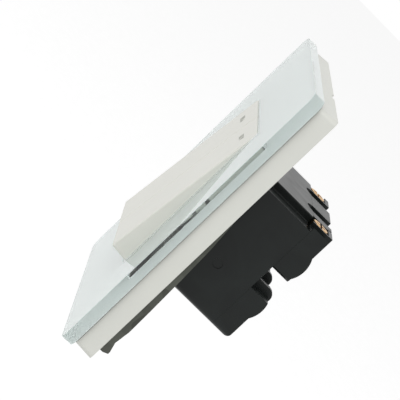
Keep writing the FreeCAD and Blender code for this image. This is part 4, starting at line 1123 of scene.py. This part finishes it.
class SHUTTER_OT_stage(bpy.types.Operator):
    """Lay the pale floor, light it and set the camera"""
    bl_idname = "shutter_switch.stage"
    bl_label = "Stage"

    def execute(self, context):
        stage = context.scene.switch_stage
        sheet = bmesh.new()
        bmesh.ops.create_grid(sheet, x_segments=1, y_segments=1, size=stage.floor_size,
                              matrix=Matrix.Translation((0, 0, -stage.floor_drop)))
        floor = as_object("floor", sheet)
        floor.data.materials.append(self.floor_material(stage))
        self.even_light(context, stage)
        self.softbox(context, stage)
        self.camera(context, stage)
        context.scene.view_settings.view_transform = "Standard"
        return {"FINISHED"}

    def seen_directly(self, tree):
        """1 for the rays that look at the background, straight or through glass and gloss."""
        rays = add(tree, "ShaderNodeLightPath")
        either = add(tree, "ShaderNodeMath", {0: rays.outputs["Is Camera Ray"],
                                              1: rays.outputs["Is Glossy Ray"]}, operation="MAXIMUM")
        return add(tree, "ShaderNodeMath", {0: either.outputs[0],
                                            1: rays.outputs["Is Transmission Ray"]},
                   operation="MAXIMUM").outputs[0]

    def floor_material(self, stage):
        """White paper sweep: matt, lifted a little where it is seen so that it reads as white."""
        made, tree, place = blank("paper_sweep")
        fibre = add(tree, "ShaderNodeTexNoise", {"Vector": place, "Scale": per_metre(6.0), "Detail": 3.0})
        tone = add(tree, "ShaderNodeValToRGB", {"Fac": fibre.outputs["Fac"]},
                   stops=[(0.3, shade(stage.paper, 0.97)), (0.7, stage.paper)])
        matt = add(tree, "ShaderNodeBsdfDiffuse", {"Color": tone.outputs["Color"]})
        lift = add(tree, "ShaderNodeMath", {0: self.seen_directly(tree), 1: stage.floor_lift},
                   operation="MULTIPLY")
        glow = add(tree, "ShaderNodeEmission", {"Color": (1, 1, 1, 1), "Strength": lift.outputs[0]})
        both = add(tree, "ShaderNodeAddShader", {0: matt.outputs[0], 1: glow.outputs[0]})
        add(tree, "ShaderNodeOutputMaterial", {"Surface": both.outputs[0]})
        return made

    def even_light(self, context, stage):
        """A world that lights the switch evenly and is white where it is seen."""
        world = bpy.data.worlds.new("studio")
        world.use_nodes = True
        tree = world.node_tree
        tree.nodes.clear()
        lift = add(tree, "ShaderNodeMapRange", {"Value": self.seen_directly(tree),
                                               "To Min": stage.daylight, "To Max": 1.0})
        sky = add(tree, "ShaderNodeBackground", {"Color": (1, 1, 1, 1),
                                                 "Strength": lift.outputs["Result"]})
        add(tree, "ShaderNodeOutputWorld", {"Surface": sky.outputs[0]})
        context.scene.world = world

    def softbox(self, context, stage):
        """A large soft lamp above, in front and to the right, turned to the switch."""
        lamp = bpy.data.lights.new("softbox", "AREA")
        lamp.energy = stage.lamp
        lamp.size = stage.lamp_size
        box = bpy.data.objects.new("softbox", lamp)
        place = Vector(stage.lamp_place)
        box.matrix_world = (Matrix.Translation(place)
                            @ place.to_track_quat("Z", "Y").to_matrix().to_4x4())
        context.scene.collection.objects.link(box)

    def camera(self, context, stage):
        """The photograph's view: from the right side, a little above, rolled."""
        camera = bpy.data.cameras.new("camera")
        camera.lens = stage.lens
        camera.sensor_width = 36
        camera.clip_start = 0.01
        camera.clip_end = 20
        view = bpy.data.objects.new("camera", camera)
        look = Vector(stage.camera_look).normalized()
        right = Vector(stage.camera_right)
        right = (right - look * right.dot(look)).normalized()
        turn = Matrix((right, right.cross(look), -look)).transposed().to_4x4()
        view.matrix_world = Matrix.Translation(stage.camera_place) @ turn
        context.scene.collection.objects.link(view)
        context.scene.camera = view


class SHUTTER_PT_sidebar(bpy.types.Panel):
    """Lists the sizes, finishes and steps."""
    bl_idname = "SHUTTER_PT_sidebar"
    bl_label = "Roller Shutter Switch"
    bl_space_type = "VIEW_3D"
    bl_region_type = "UI"
    bl_category = "Shutter Switch"

    def draw(self, context):
        for group in SETTINGS:
            box = self.layout.box()
            settings = getattr(context.scene, group)
            for name in type(settings).__annotations__:
                box.prop(settings, name)
        for step in STEPS:
            self.layout.operator(step.bl_idname)


SETTINGS = {
    "switch_panel": PanelSizes,
    "switch_frame": FrameSizes,
    "switch_keys": KeySizes,
    "switch_plate": PlateSizes,
    "switch_housing": HousingSizes,
    "switch_blocks": BlockSizes,
    "switch_terminals": TerminalSizes,
    "switch_finishes": Finishes,
    "switch_stage": StageSettings,
}
STEPS = (
    SHUTTER_OT_stage,
    SHUTTER_OT_glass,
    SHUTTER_OT_frame,
    SHUTTER_OT_keys,
    SHUTTER_OT_signs,
    SHUTTER_OT_plate,
    SHUTTER_OT_housing,
    SHUTTER_OT_blocks,
    SHUTTER_OT_terminals,
    SHUTTER_OT_inner_parts,
)
CLASSES = (*SETTINGS.values(), *STEPS, SHUTTER_PT_sidebar)


def register():
    for each in CLASSES:
        bpy.utils.register_class(each)
    for name, group in SETTINGS.items():
        setattr(bpy.types.Scene, name, PointerProperty(type=group))


def unregister():
    for name in SETTINGS:
        delattr(bpy.types.Scene, name)
    for each in reversed(CLASSES):
        bpy.utils.unregister_class(each)


def main():
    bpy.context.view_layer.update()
    register()
    for step in STEPS:
        getattr(bpy.ops.shutter_switch, step.bl_idname.split(".")[1])()


if __name__ == "__main__":
    main()
